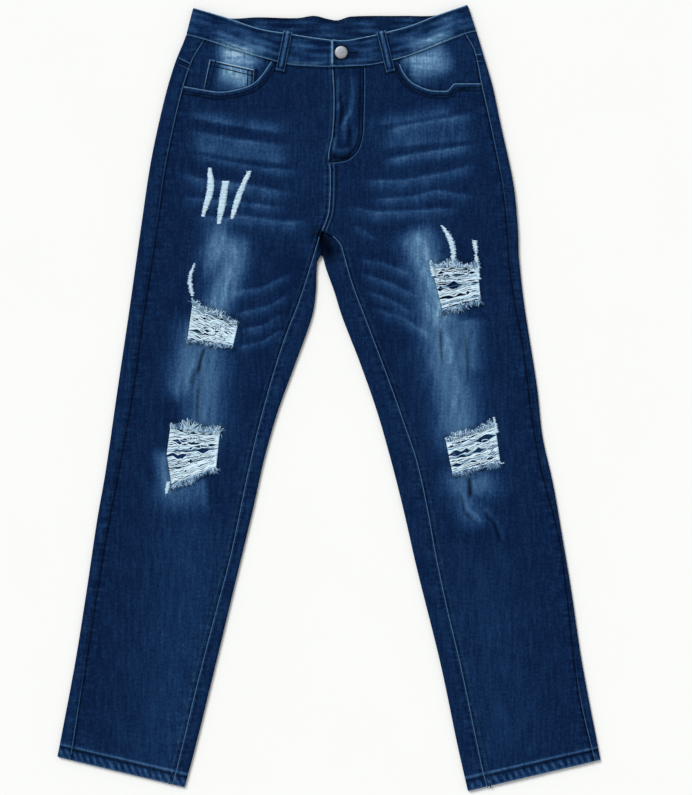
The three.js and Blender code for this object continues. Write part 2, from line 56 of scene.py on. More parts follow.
Array = np.ndarray
Place = tuple[float, float]
Colour = tuple[float, float, float]
Level = Array | float

MM = 0.001
BODY = "root"
WELD = 1e-6

# ---------- Driving sizes, the same as the frame's ----------
DENIM = 1.2
DOUBLE = 2.2
LINING = 1.0
LOOP = 1.8
GAP = 0.3
HALF_GAP = GAP / 2
WAIST_GAP = 0.6
RIM = 5.6
FOLD_RADIUS = RIM / 2
SINK = 2.4
POCKET_LIFT = DENIM + GAP
LOOP_LIFT = LOOP + GAP
FLY_RISE = DENIM + GAP
BAND_RISE = DOUBLE + GAP
COIN_LIFT = 0.45
FACING_DROP = DENIM + GAP + LINING + COIN_LIFT
HEM = 16.5
LOOP_WIDTH = 11.5
FLY_LAP = 3.0
BAND_LAP = 26.0
BUTTON_RADIUS = 8.4
BUTTON_AT = (16.0, 452.0)
BUTTONHOLE_END = 37.0
HIP = 380.0
SEAT = 330.0
CROTCH = 217.0
FORK = 189.0
KNEE = 60.0
FLY_FOOT = 308.0
BAND_FOOT = 434.0
BAND_MIDDLE = 450.0
CENTRE_BACK = -9.0

# ---------- Fineness of the meshes ----------
ROW = 2.6  # between two rows of points down a leg
STITCH = 3.4  # from one stitch to the next
CELL = 2.3  # between two columns across a panel
EDGE_COLUMNS = (0.0, 0.6, 1.4, 2.6, 4.2, 6.4, 9.0)  # in from a panel's edge


class Slot(Enum):
    """The record's finishes."""

    DENIM = "denim"
    FADED = "faded_denim"
    THREAD = "bare_thread"
    METAL = "button_metal"


# ---------- Number helpers ----------
def mix(a: Level, b: Level, t: Level) -> Level:
    """The value t of the way from a to b."""
    return a + (b - a) * t


def smooth(value: Level, low: float, high: float) -> Array:
    """0 below low, 1 above high, and a soft step between them."""
    t = np.clip((np.asarray(value, float) - low) / (high - low), 0.0, 1.0)
    return t * t * (3.0 - 2.0 * t)


def bell(distance: Level, reach: float) -> Array:
    """1 at no distance, falling softly to almost 0 at twice the reach."""
    return np.exp(-((np.asarray(distance, float) / reach) ** 2))


def unit(vectors: Array) -> Array:
    """The vectors at a length of 1."""
    return vectors / np.maximum(np.linalg.norm(vectors, axis=-1, keepdims=True), 1e-9)


@dataclass(frozen=True)
class Curve:
    """A smooth curve through (along, across) places."""

    places: tuple[Place, ...]

    def __call__(self, along: Level) -> Array:
        """Reads the curve.

        Args:
            along: Where to read it.

        Returns:
            The value across at each place along.
        """
        at, across = np.array(sorted(self.places), float).T
        last = len(at) - 1
        before = np.maximum(np.arange(last + 1) - 1, 0)
        after = np.minimum(np.arange(last + 1) + 1, last)
        slope = (across[after] - across[before]) / (at[after] - at[before])
        along = np.asarray(along, float)
        i = np.clip(np.searchsorted(at, along) - 1, 0, last - 1)
        span = at[i + 1] - at[i]
        t = (along - at[i]) / span
        inside = mix(across[i], across[i + 1], t * t * (3 - 2 * t))
        inside = inside + t * (1 - t) ** 2 * span * slope[i] + t * t * (t - 1) * span * slope[i + 1]
        low = across[0] + slope[0] * (along - at[0])
        high = across[last] + slope[last] * (along - at[last])
        return np.where(t < 0, low, np.where(t > 1, high, inside))


@dataclass(frozen=True)
class Stroke:
    """A soft mark along a line: worn dye, a crease or a ridge, used as height, as wear and as painted shade
    and highlight.

    Attributes:
        places: The line.
        reach: How far the mark reaches to each side.
        amount: Its strength on the line.
        fade: The shares of its length over which its start and its end fade away.
        upper: Its reach on the upper side, as a share of the reach below.
    """

    places: tuple[Place, ...]
    reach: float
    amount: float
    fade: Place = (0.25, 0.25)
    upper: float = 1.0

    def at(self, x: Array, y: Array) -> Array:
        """The mark's strength at points of the panel.

        Args:
            x: Across.
            y: Up the garment.

        Returns:
            The strength at each point.
        """
        run = np.concatenate([[0], np.cumsum([math.dist(a, b) for a, b in pairwise(self.places)])])
        nearest, where, above = (np.full(np.shape(x), start) for start in (1e9, 0.0, 0.0))
        for i, ((x0, y0), (x1, y1)) in enumerate(pairwise(self.places)):
            length = run[i + 1] - run[i]
            t = np.clip(((x - x0) * (x1 - x0) + (y - y0) * (y1 - y0)) / length**2, 0, 1)
            rise = y - mix(y0, y1, t)
            far = np.hypot(x - mix(x0, x1, t), rise)
            closer = far < nearest
            nearest = np.where(closer, far, nearest)
            where = np.where(closer, (run[i] + t * length) / run[-1], where)
            above = np.where(closer, rise, above)
        start, end = self.fade
        ends = smooth(where, -1e-3, start) * smooth(1 - where, -1e-3, end)
        return self.amount * bell(nearest, self.reach * np.where(above > 0, self.upper, 1.0)) * ends


def strokes(*rows: tuple) -> tuple[Stroke, ...]:
    """Strokes, each from a row of its values."""
    return tuple(Stroke(*row) for row in rows)


def marked(group: Sequence[Stroke], x: Array, y: Array) -> Array:
    """The strokes' strengths at points, added up."""
    return sum((stroke.at(x, y) for stroke in group), np.zeros(np.shape(x)))


def blended(group: Sequence[Stroke], x: Array, y: Array) -> Array:
    """The strokes' strengths at points, where a strong one hides the weaker ones that it crosses."""
    each = np.stack([stroke.at(x, y) for stroke in group])
    return (np.maximum(each, 0) ** 3).sum(axis=0) ** (1 / 3) + np.minimum(each, 0).sum(axis=0)


def wander(x: Array, y: Array, pitch: float, seed: int) -> Array:
    """A smooth irregular field between about -1 and 1.

    Args:
        x: Across.
        y: Up the garment.
        pitch: Its typical wavelength.
        seed: Which field.

    Returns:
        The field at each point.
    """
    draw = np.random.default_rng(seed)
    total = np.zeros(np.shape(x))
    waves = zip(draw.uniform(0, math.pi, 5), draw.uniform(0.7, 1.5, 5), draw.uniform(0, 7, 5))
    for turn, stretch, phase in waves:
        along = x * math.cos(turn) + y * math.sin(turn)
        total = total + np.sin(along * math.tau / (pitch * stretch) + phase)
    return total / 3.0


def lengths(line: Array) -> Array:
    """How far along a line each of its points is."""
    return np.concatenate([[0], np.cumsum(np.linalg.norm(np.diff(line, axis=0), axis=1))])


def points_at(line: Array, at: Level) -> Array:
    """The points of a line at distances along it."""
    return np.stack([np.interp(at, lengths(line), line[:, i]) for i in (0, 1)], axis=-1)


def stacked(*parts: Level) -> Array:
    """Points from their coordinates."""
    return np.stack(np.broadcast_arrays(*parts), axis=-1)


def line_through(places: Sequence[Place], step: float) -> Array:
    """Points at even steps along a line with rounded corners.

    Args:
        places: The line's places.
        step: About how far apart the points are.

    Returns:
        The points, as rows of x and y.
    """
    corners = np.array(places, float)
    along = lengths(corners)
    at = np.linspace(0, along[-1], max(2, int(along[-1] / step) + 1))
    if len(corners) == 2:
        return points_at(corners, at)
    return np.stack([Curve(tuple(zip(along, corners[:, i])))(at) for i in (0, 1)], axis=1)


def beside(line: Array, distance: float) -> Array:
    """The line moved to its left by a distance."""
    along = unit(np.gradient(line, axis=0))
    return line + distance * np.column_stack([-along[:, 1], along[:, 0]])


def traced(line: Array, reach: float, amount: float) -> Stroke:
    """An even mark along a line of points."""
    return Stroke(tuple(map(tuple, line.tolist())), reach, amount, (0.0, 0.0))


# ---------- Outlines of the two sides ----------
@dataclass(frozen=True)
class Side:
    """One side of the garment. Each curve gives x for a y.

    Attributes:
        name: "right" or "left", the wearer's.
        out: The way towards the side fold, -1 or 1.
        fold: The folded edge at the hip and leg.
        outseam: The seam between front and back that shows beside it.
        inner: The folded edge inside the leg.
        inseam: The seam between front and back inside the leg.
        hem: The hem's outer and inner ends.
        yoke: Heights of the yoke seam at the fold and at the outseam.
        band_corner: x of the waistband's fold, at its top and at its foot.
        tail_start: The height where the back starts to turn up inside the leg.
    """

    name: str
    out: int
    fold: Curve
    outseam: Curve
    inner: Curve
    inseam: Curve
    hem: tuple[Place, Place]
    yoke: Place
    band_corner: Place
    tail_start: float

    def hem_at(self, x: Level) -> Level:
        """y of the hem's foot at x."""
        (x0, y0), (x1, y1) = self.hem
        return y0 + (x - x0) * (y1 - y0) / (x1 - x0)


RIGHT = Side(
    "right",
    -1,
    fold=Curve((
        (511, -178), (476, -187), (438, -202), (390, -216), (312, -233), (233, -245), (107, -263),
        (13, -277), (-97, -293), (-160, -304), (-254, -318), (-348, -333), (-470, -356),
    )),
    outseam=Curve((
        (467, -164), (441, -179), (394, -194), (307, -213), (217, -226), (103, -244), (4, -258),
        (-107, -278), (-186, -293), (-292, -310), (-448, -334), (-472, -338),
    )),
    inner=Curve((
        (FORK, -9), (178, -15), (139, -17), (107, -22), (45, -44), (-18, -67), (-81, -85),
        (-144, -99), (-223, -118), (-348, -148), (-458, -175), (-510, -189),
    )),
    inseam=Curve((
        (217, -10), (183, -20), (127, -38), (86, -54), (38, -70), (-34, -90), (-103, -106),
        (-208, -128), (-280, -147), (-369, -170), (-489, -199), (-506, -204),
    )),
    hem=((-356, -470), (-189, -510)),
    yoke=(446, 437),
    band_corner=(-178, -187),
    tail_start=205,
)
LEFT = Side(
    "left",
    1,
    fold=Curve((
        (515, 182), (481, 193), (438, 206), (406, 215), (359, 225), (296, 239), (265, 244),
        (217, 248), (186, 249), (123, 256), (13, 273), (-50, 280), (-113, 294), (-176, 305),
        (-254, 318), (-348, 332), (-474, 356),
    )),
    outseam=Curve((
        (475, 179), (455, 190), (413, 199), (355, 212), (280, 227), (234, 233), (159, 239),
        (67, 255), (-26, 267), (-93, 279), (-186, 303), (-278, 315), (-388, 328), (-472, 347),
    )),
    inner=Curve((
        (FORK, -9), (170, -4), (139, 7), (107, 17), (45, 41), (-18, 63), (-81, 81),
        (-144, 97), (-223, 115), (-348, 146), (-458, 169), (-515, 182),
    )),
    inseam=Curve((
        (217, -9), (215, 0), (207, 10), (200, 15), (190, 18), (149, 30), (99, 49), (25, 77),
        (-37, 99), (-85, 115), (-144, 128), (-210, 140), (-280, 155), (-352, 172), (-485, 200),
        (-508, 206),
    )),
    hem=((356, -474), (182, -515)),
    yoke=(449, 449),
    band_corner=(182, 193),
    tail_start=212,
)
SIDES = (RIGHT, LEFT)

CENTRE_FRONT = Curve(((434, 4), (390, 6), (347, 4), (318, -1), (297, 1), (244, -1), (217, -10)))
BAND_TOP_FRONT = Curve((
    (-178, 511), (-134, 498), (-93, 484), (-59, 478), (-6, 470), (22, 468), (49, 473), (75, 479),
    (105, 487), (144, 502), (182, 515),
))
WAIST_FRONT = Curve((
    (-187, 476), (-160, 469), (-118, 455), (-79, 444), (-52, 437), (-26, 435), (1, 434), (49, 436),
    (89, 444), (122, 455), (155, 468), (181, 478), (193, 481),
))
BAND_TOP_BACK = Curve((
    (-178, 511), (-134, 498), (-93, 499), (-42, 498), (-19, 501), (-2, 497), (11, 495), (28, 500),
    (97, 501), (143, 502), (182, 515),
))
WAIST_BACK = Curve((
    (-187, 476), (-150, 469), (-100, 465), (-50, 463), (0, 462), (60, 464), (110, 467), (155, 472),
    (193, 481),
))
MOUTH_RIGHT = Curve((
    (-200, 409), (-189, 408), (-166, 404), (-144, 401), (-126, 403), (-107, 408), (-94, 416),
    (-84, 428), (-76, 440), (-66, 456),
))
MOUTH_LEFT_CURVE = Curve(((81, 460), (91, 442), (97, 428), (107, 415), (119, 408), (134, 403), (157, 402)))


def mouth_left(x: Level) -> Array:
    """y of the left pocket mouth at x, with its small step near the outseam."""
    return mix(MOUTH_LEFT_CURVE(np.minimum(x, 157)), 412, smooth(x, 154, 165))


# ---------- Wear, creases and ridges --------------------------
WHISKER_LINES = (
    (15.0, 0.23, ((-192, 350), (-124, 337), (-46, 327))),
    (8.0, 0.18, ((-190, 322), (-135, 309), (-84, 300), (-30, 295))),
    (13.0, 0.22, ((-202, 297), (-171, 286), (-100, 276), (-38, 264))),
    (10.0, 0.19, ((-202, 262), (-135, 257), (-50, 247))),
    (12.0, 0.24, ((-184, 241), (-141, 233), (-118, 238), (-60, 229), (-17, 231))),
    (15.0, 0.23, ((62, 345), (112, 358), (200, 372))),
    (10.0, 0.25, ((62, 308), (112, 318), (200, 332))),
    (11.0, 0.22, ((34, 283), (98, 284), (153, 294), (202, 307))),
    (9.0, 0.19, ((44, 258), (108, 262), (140, 271), (199, 262))),
    (11.0, 0.22, ((18, 252), (62, 242), (117, 244), (178, 249))),
    (9.0, 0.12, ((30, 228), (66, 205))),
    (8.0, 0.17, ((-140, 136), (-88, 143), (-43, 166))),
    (9.0, 0.17, ((-126, 108), (-80, 119), (-48, 138))),
    (9.0, 0.17, ((-118, 88), (-85, 94), (-57, 113))),
    (8.0, 0.16, ((-124, 64), (-85, 74), (-58, 92))),
    (9.0, 0.17, ((34, 182), (70, 176), (113, 160))),
    (9.0, 0.19, ((36, 164), (80, 150), (121, 129))),
    (9.0, 0.17, ((42, 142), (80, 128), (113, 108))),
    (9.0, 0.16, ((48, 120), (95, 105), (142, 76))),
)
WHISKER_FEET = (
    (0.26, ((-192, 371), (-127, 358), (-48, 347))),
    (0.21, ((-192, 329), (-124, 316), (-40, 307))),
    (0.21, ((58, 357), (112, 366), (172, 376))),
    (0.20, ((58, 326), (112, 333), (200, 341))),
)
WHISKERS = (
    *(Stroke(line, reach, 1.05 * amount, (0.22, 0.22), 0.25) for reach, amount, line in WHISKER_LINES),
    *(Stroke(line, 2.6, amount, (0.22, 0.22), 4.2) for amount, line in WHISKER_FEET),
)
SCRATCHES = (
    *(Stroke(line, 1.3, 0.35 * amount) for _, amount, line in WHISKER_LINES),
    *strokes(
        (((161, 390), (153, 367), (147, 335), (139, 282)), 1.3, 0.12),
        (((110, 272), (119, 248)), 1.2, 0.12),
        (((-66, 296), (-70, 284)), 1.0, 0.10),
        (((-82, 270), (-88, 256)), 1.0, 0.10),
    ),
)
FADES = strokes(
    (((-134, 234), (-145, 200), (-170, 136)), 18.0, 0.60, (0.30, 0.55)),
    (((-121, 226), (-124, 184), (-135, 150), (-150, 114)), 19.0, 0.61, (0.30, 0.0)),
    (((-165, 178), (-172, 160)), 9.0, -0.10, (0.0, 0.0)),
    (((-178, 84), (-190, 30), (-199, -16)), 20.0, 0.44, (0.0, 0.35)),
    (((-158, 78), (-160, 15), (-166, -44)), 26.0, 0.44, (0.0, 0.0)),
    (((-188, 60), (-199, 22), (-198, -14)), 3.6, 0.24, (0.2, 0.2)),
    (((-222, -60), (-214, -105), (-206, -135)), 11.0, 0.46, (0.3, 0.2)),
    (((-205, -124), (-155, -120)), 26.0, 0.32, (0.0, 0.2)),
    (((-180, -140), (-212, -460)), 50.0, 0.09, (0.1, 0.0)),
    (((108, 232), (120, 198), (132, 158), (144, 112)), 22.0, 0.66, (0.22, 0.0)),
    (((144, 110), (150, 66), (162, 15), (172, -44)), 29.0, 0.53, (0.0, 0.0)),
    (((180, 108), (186, 20)), 18.0, 0.40, (0.1, 0.3)),
    (((168, -106), (205, -112)), 19.0, 0.36, (0.0, 0.0)),
    (((172, -118), (200, -178)), 20.0, 0.30, (0.0, 0.4)),
    (((190, -180), (225, -440)), 48.0, 0.06, (0.3, 0.0)),
    (((-60, 380), (-30, 250)), 40.0, 0.03, (0.2, 0.2)),
    (((90, 380), (110, 250)), 50.0, 0.03, (0.2, 0.2)),
    (((-32, 200), (-90, -40)), 24.0, -0.05, (0.1, 0.1)),
    (((24, 200), (86, -40)), 24.0, -0.05, (0.1, 0.1)),
)
FLY_WEAR = strokes(
    (((31, 428), (31, 395), (27, 358)), 3.6, 0.20),
    (((11, 425), (11, 372)), 2.2, 0.18),
    (((8, 374), (22, 396)), 2.6, 0.16),
    (((14, 348), (30, 380)), 2.4, 0.18),
    (((22, 376), (20, 332)), 2.4, 0.20),
    (((37, 356), (33, 326)), 3.0, 0.14),
    (((6, 345), (8, 320)), 2.6, 0.20),
    (((10, 323), (28, 326)), 2.2, 0.20),
    (((56, 372), (60, 330)), 5.0, 0.06),
)
# Creases: each sinks the front a little and paints shade along its line.
CREASES = strokes(
    (((-163, 66), (-168, 50), (-172, 30)), 2.2, 0.95, (0.1, 0.3)),
    (((-168, 44), (-186, 12)), 4.5, 0.45, (0.3, 0.3)),
    (((-171, 18), (-174, -32)), 2.6, 0.65, (0.2, 0.2)),
    (((146, 92), (149, 39)), 1.8, 0.70, (0.1, 0.3)),
    (((176, 92), (181, 60), (184, 10)), 2.0, 0.60, (0.2, 0.3)),
    (((183, -104), (185, -118), (186, -134)), 3.0, 1.0, (0.1, 0.3)),
    (((172, -120), (178, -150), (200, -172)), 1.6, 0.60, (0.2, 0.3)),
    (((198, -145), (217, -166), (228, -195)), 1.6, 0.75, (0.2, 0.2)),
    (((2, 318), (20, 313), (34, 320)), 3.0, 0.85, (0.1, 0.3)),
    (((14, 404), (18, 376), (12, 348)), 2.4, 0.70, (0.2, 0.3)),
    (((3, 421), (10, 418)), 1.6, 0.50, (0.2, 0.4)),
    (((3, 405), (12, 404)), 1.6, 0.50, (0.2, 0.4)),
    (((3, 390), (10, 389)), 1.6, 0.50, (0.2, 0.4)),
    (((28, 356), (25, 326)), 2.4, 0.60, (0.2, 0.2)),
    (((41, 410), (40, 360)), 2.0, 0.35, (0.2, 0.2)),
    (((-210, -128), (-130, -134)), 4.0, 0.14, (0.2, 0.2)),
    (((140, -134), (175, -132)), 4.0, 0.14, (0.2, 0.2)),
    (((-60, 140), (-48, 40)), 6.0, 0.14, (0.2, 0.2)),
    (((60, 90), (90, 0)), 6.0, 0.14, (0.2, 0.2)),
)
# Ridges: each raises the front a little and paints highlight along its line, added to the wear.
RIDGES = strokes(
    (((176, -116), (182, -146), (206, -166)), 3.2, 0.16, (0.2, 0.2)),
    (((200, -140), (221, -162), (231, -190)), 3.0, 0.10, (0.2, 0.2)),
    (((-176, 55), (-186, 10)), 5.0, 0.14, (0.2, 0.2)),
    (((156, 85), (160, 40)), 5.0, 0.12, (0.2, 0.2)),
    (((192, -106), (196, -132)), 5.0, 0.14, (0.2, 0.2)),
)
LOOP_LINES = (((-53.5, 480.0), (-64.0, 428.0)), ((68.0, 480.0), (81.0, 427.0)))
FLY_CURVE = ((47, 432), (47, 400), (46, 363), (45, 345), (40, 326), (27, 312), (12, 308), (0, 307))


# ---------- Heights ----------
# The largest soft folds of the front.
FOLDS = tuple(Stroke(line, reach, height, (0.0, 0.0)) for line, reach, height in (
    (((-222, 268), (-60, 232)), 16, 0.7),
    (((-190, 190), (-40, 200)), 16, 0.6),
    (((60, 238), (210, 262)), 16, 0.7),
    (((40, 190), (190, 200)), 16, 0.6),
    (((-150, 120), (-62, 96)), 15, 0.9),
    (((48, 170), (150, 118)), 15, 0.9),
    (((-196, -130), (-128, -150)), 16, 1.0),
    (((176, -122), (226, -172)), 14, 1.2),
    (((-270, -300), (-170, -330)), 20, 0.8),
    (((180, -330), (290, -300)), 20, 0.8),
))


def under(y: Level) -> Array:
    """Height of the underside at y: the legs lie on the floor, the seat on its pockets and loops."""
    seat = POCKET_LIFT * smooth(y, 120, 225)
    return seat + (LOOP_LIFT - POCKET_LIFT) * smooth(y, 395, 425)


def over(side: Side, x: Array, y: Array) -> Array:
    """Height of the front's upper side, before its small relief.

    Args:
        side: Which side.
        x: Across.
        y: Up the garment.

    Returns:
        The height at each point.
    """
    from_fold = np.abs(x - side.fold(y))
    from_inner = np.where(y < FORK, np.abs(x - side.inner(y)), RIM * 20)
    between = smooth(from_fold, 12, 55) * smooth(from_inner, 12, 55)
    settled = SINK * (1 - smooth(y, KNEE, FORK - 20)) * smooth(y - side.hem_at(x), HEM, HEM * 5)
    return under(y) + RIM + between * (marked(FOLDS, x, y) - settled)


def fly_rise(x: Array, y: Array) -> Array:
    """Height added where the left front's folded edge laps over the right front."""
    from_edge = x - CENTRE_FRONT(y)
    return FLY_RISE * (1 - smooth(from_edge, 6, 30)) * smooth(y, FLY_FOOT - 16, FLY_FOOT)


def relief(x: Array, y: Array) -> Array:
    """The front's small relief: soft waves, whiskers, ridges and creases."""
    waves = 0.28 * wander(x, y, 95, 3) + 0.12 * wander(x, y, 30, 4)
    shaped = 2.0 * marked(WHISKERS, x, y) + 5.0 * marked(RIDGES, x, y) - 1.1 * marked(CREASES, x, y)
    return waves + shaped + 1.5 * marked(FLY_WEAR, x, y)


def front_top(side: Side, x: Array, y: Array) -> Array:
    """Height of the finished front at points, with the fly's lap on the left one."""
    lap = fly_rise(x, y) if side is LEFT else 0.0
    calm = smooth(np.abs(x - side.fold(y)), 6, 30)
    return over(side, x, y) + lap + calm * relief(x, y)


MOUTH_ROWS = (5.6, 9.4)


def mouth_line(side: Side) -> Array:
    """Points along a side's pocket mouth, from the outseam to the waist seam."""
    x = np.linspace(-190, -66, 40) if side is RIGHT else np.linspace(199, 81, 40)
    y = MOUTH_RIGHT(x) if side is RIGHT else mouth_left(x)
    kept = y < WAIST_FRONT(x) - 1.5
    return stacked(x, y)[kept]


def row_shades(side: Side) -> tuple[Stroke, ...]:
    """Painted shade on a front: dark lines along the stitched rows and beside the belt loop."""
    rows = [traced(beside(mouth_line(side), side.out * away), 1.15, 0.70) for away in MOUTH_ROWS]
    loop = np.array(LOOP_LINES[SIDES.index(side)])
    along = (loop[1] - loop[0]) / np.linalg.norm(loop[1] - loop[0])
    across = np.array([-along[1], along[0]]) * (LOOP_WIDTH / 2 + 0.6)
    rows += [traced(loop + across * way, 1.6, 0.65) for way in (-1, 1)]
    foot = loop[1] + along * 0.9
    rows.append(traced(np.array([foot - across, foot + across]), 1.8, 0.75))
    if side is LEFT:
        fly = line_through(FLY_CURVE, 8.0)
        rows += [traced(beside(fly, -away), 1.2, 0.60) for away in (1.9, 6.2)]
        y = np.linspace(432, 312, 16)
        rows.append(traced(stacked(CENTRE_FRONT(y) + 3.0, y), 1.0, 0.55))
    return tuple(rows)


# ---------- Rows across a piece ----------
Key = Callable[[Array], Array]
Height = Callable[[Array, Array], Array]


def level(y: float) -> Key:
    """A key row at one height."""
    return lambda x: np.full(np.shape(x), y)


def row_y(keys: Sequence[Key], v: Array, x: Array) -> Array:
    """Height of rows, where whole numbers are the key rows from waist to hem.

    Args:
        keys: The key rows, each giving y for x.
        v: Which row, in key rows.
        x: Across.

    Returns:
        y at each row and x.
    """
    v, x = np.broadcast_arrays(v, x)
    heights = np.stack([key(x) for key in keys])
    i = np.clip(np.floor(v).astype(int), 0, len(keys) - 2)
    first = np.take_along_axis(heights, i[None], 0)[0]
    second = np.take_along_axis(heights, i[None] + 1, 0)[0]
    return mix(first, second, v - i)


def meet(keys: Sequence[Key], v: Array, edge: Key) -> tuple[Array, Array]:
    """Where rows meet an edge.

    Args:
        keys: The key rows.
        v: Which rows.
        edge: The edge, giving x for y.

    Returns:
        x and y of each meeting point.
    """
    y = row_y(keys, v, edge(np.full(np.shape(v), HIP)))
    for _ in range(12):
        y = row_y(keys, v, edge(y))
    return edge(y), y


def steps(start: float, end: float, span: float, step: float) -> Array:
    """Values from start to just before end, fine enough that span is cut into lengths of step."""
    return np.linspace(start, end, max(2, round(span / step)), endpoint=False)


HEM_START = 3 - HEM / 550


def leg_rows(from_y: float, start: float) -> Array:
    """Rows from the first key row below the waist down to the hem.

    Args:
        from_y: Height of key row 1.
        start: The first row.

    Returns:
        The rows, in key rows.
    """
    return np.concatenate([
        steps(start, 1, 75, ROW),
        steps(1, 2, from_y - KNEE, ROW),
        steps(2, HEM_START - 0.002, 530, ROW),
        steps(HEM_START - 0.002, 3, 18, 2.0),
        [3.0],
    ])


def cloth_at(v: Array) -> Array:
    """Thickness of the cloth at rows: doubled at the turned-up hem."""
    return np.where(v >= HEM_START - 1e-9, DOUBLE, DENIM)


# ---------- Meshes ----------
@lru_cache(maxsize=64)
def tube_faces(rings: int, sides: int) -> tuple[tuple[int, ...], ...]:
    """Faces of a capped tube of rings of points."""
    faces = [tuple(range(sides))[::-1], tuple(range((rings - 1) * sides, rings * sides))]
    for r in range(rings - 1):
        for s in range(sides):
            low, next_low = r * sides + s, r * sides + (s + 1) % sides
            faces.append((low, next_low, next_low + sides, low + sides))
    return tuple(faces)


Faces = Sequence[Sequence[int]]


def make_object(name: str, points: Array, faces: Faces, marks: dict[str, Array]) -> bpy.types.Object:
    """A smooth-shaded mesh object from points in millimetres.

    Args:
        name: The piece's name.
        points: Its points.
        faces: Its faces.
        marks: Values at each point, by attribute name.

    Returns:
        The new object.
    """
    mesh = bpy.data.meshes.new(name)
    mesh.from_pydata((points * MM).tolist(), [], faces)
    for mark, values in marks.items():
        attribute = mesh.attributes.new(mark, "FLOAT", "POINT")
        attribute.data.foreach_set("value", np.asarray(values, np.float32))
    mesh.shade_smooth()
    mesh.update()
    piece = bpy.data.objects.new(name, mesh)
    bpy.context.scene.collection.objects.link(piece)
    return piece


@dataclass
class Bundle:
    """Many small forms that are joined into one mesh."""

    points: list[Array] = field(default_factory=list)
    faces: list[tuple[int, ...]] = field(default_factory=list)
    wear: list[Array] = field(default_factory=list)
    count: int = 0

    def tube(self, path: Array, wide: Level, high: Level, wear: Level, sides: int = 6) -> None:
        """Adds a capped tube of oval section.

        Args:
            path: The points of its middle line.
            wide: Half its width, at each point or throughout.
            high: Half its height.
            wear: How pale it is, from 0 to 1, at each point or throughout.
            sides: Points round it.
        """
        along = unit(np.gradient(path, axis=0))
        across = unit(np.cross(along, (0.0, 0.0, 1.0)) + (1e-6, 0, 0))
        rise = np.cross(across, along)
        turn = (np.arange(sides) + 0.5) * math.tau / sides
        wide = np.broadcast_to(wide, len(path))[:, None, None]
        high = np.broadcast_to(high, len(path))[:, None, None]
        ring = wide * np.cos(turn)[None, :, None] * across[:, None]
        ring = ring + high * np.sin(turn)[None, :, None] * rise[:, None]
        self.points.append((path[:, None] + ring).reshape(-1, 3))
        self.faces.extend(tuple(i + self.count for i in face) for face in tube_faces(len(path), sides))
        self.wear.append(np.repeat(np.broadcast_to(wear, len(path)), sides))
        self.count += len(path) * sides

    def build(self, name: str) -> bpy.types.Object:
        """The joined mesh as one object."""
        wear = np.concatenate(self.wear)
        return make_object(name, np.concatenate(self.points), self.faces, {"wear": wear})


def nearest_on(outline: Array, points: Array) -> Array:
    """The places of a closed outline that are nearest to points in the plane."""
    best = np.full(len(points), 1e9)
    found = points.copy()
    for a, b in zip(outline, np.roll(outline, -1, axis=0)):
        t = np.clip((points - a) @ (b - a) / max((b - a) @ (b - a), 1e-9), 0, 1)
        there = a + t[:, None] * (b - a)
        far = np.linalg.norm(points - there, axis=1)
        found = np.where((far < best)[:, None], there, found)
        best = np.minimum(best, far)
    return found


def inside(outline: Array, x: Array, y: Array) -> Array:
    """Whether points lie inside a closed outline."""
    odd = np.zeros(np.shape(x), bool)
    for (x0, y0), (x1, y1) in zip(outline, np.roll(outline, -1, axis=0)):
        if y0 == y1:
            continue
        crosses = (y0 > y) != (y1 > y)
        odd ^= crosses & (x < (x1 - x0) * (y - y0) / (y1 - y0) + x0)
    return odd


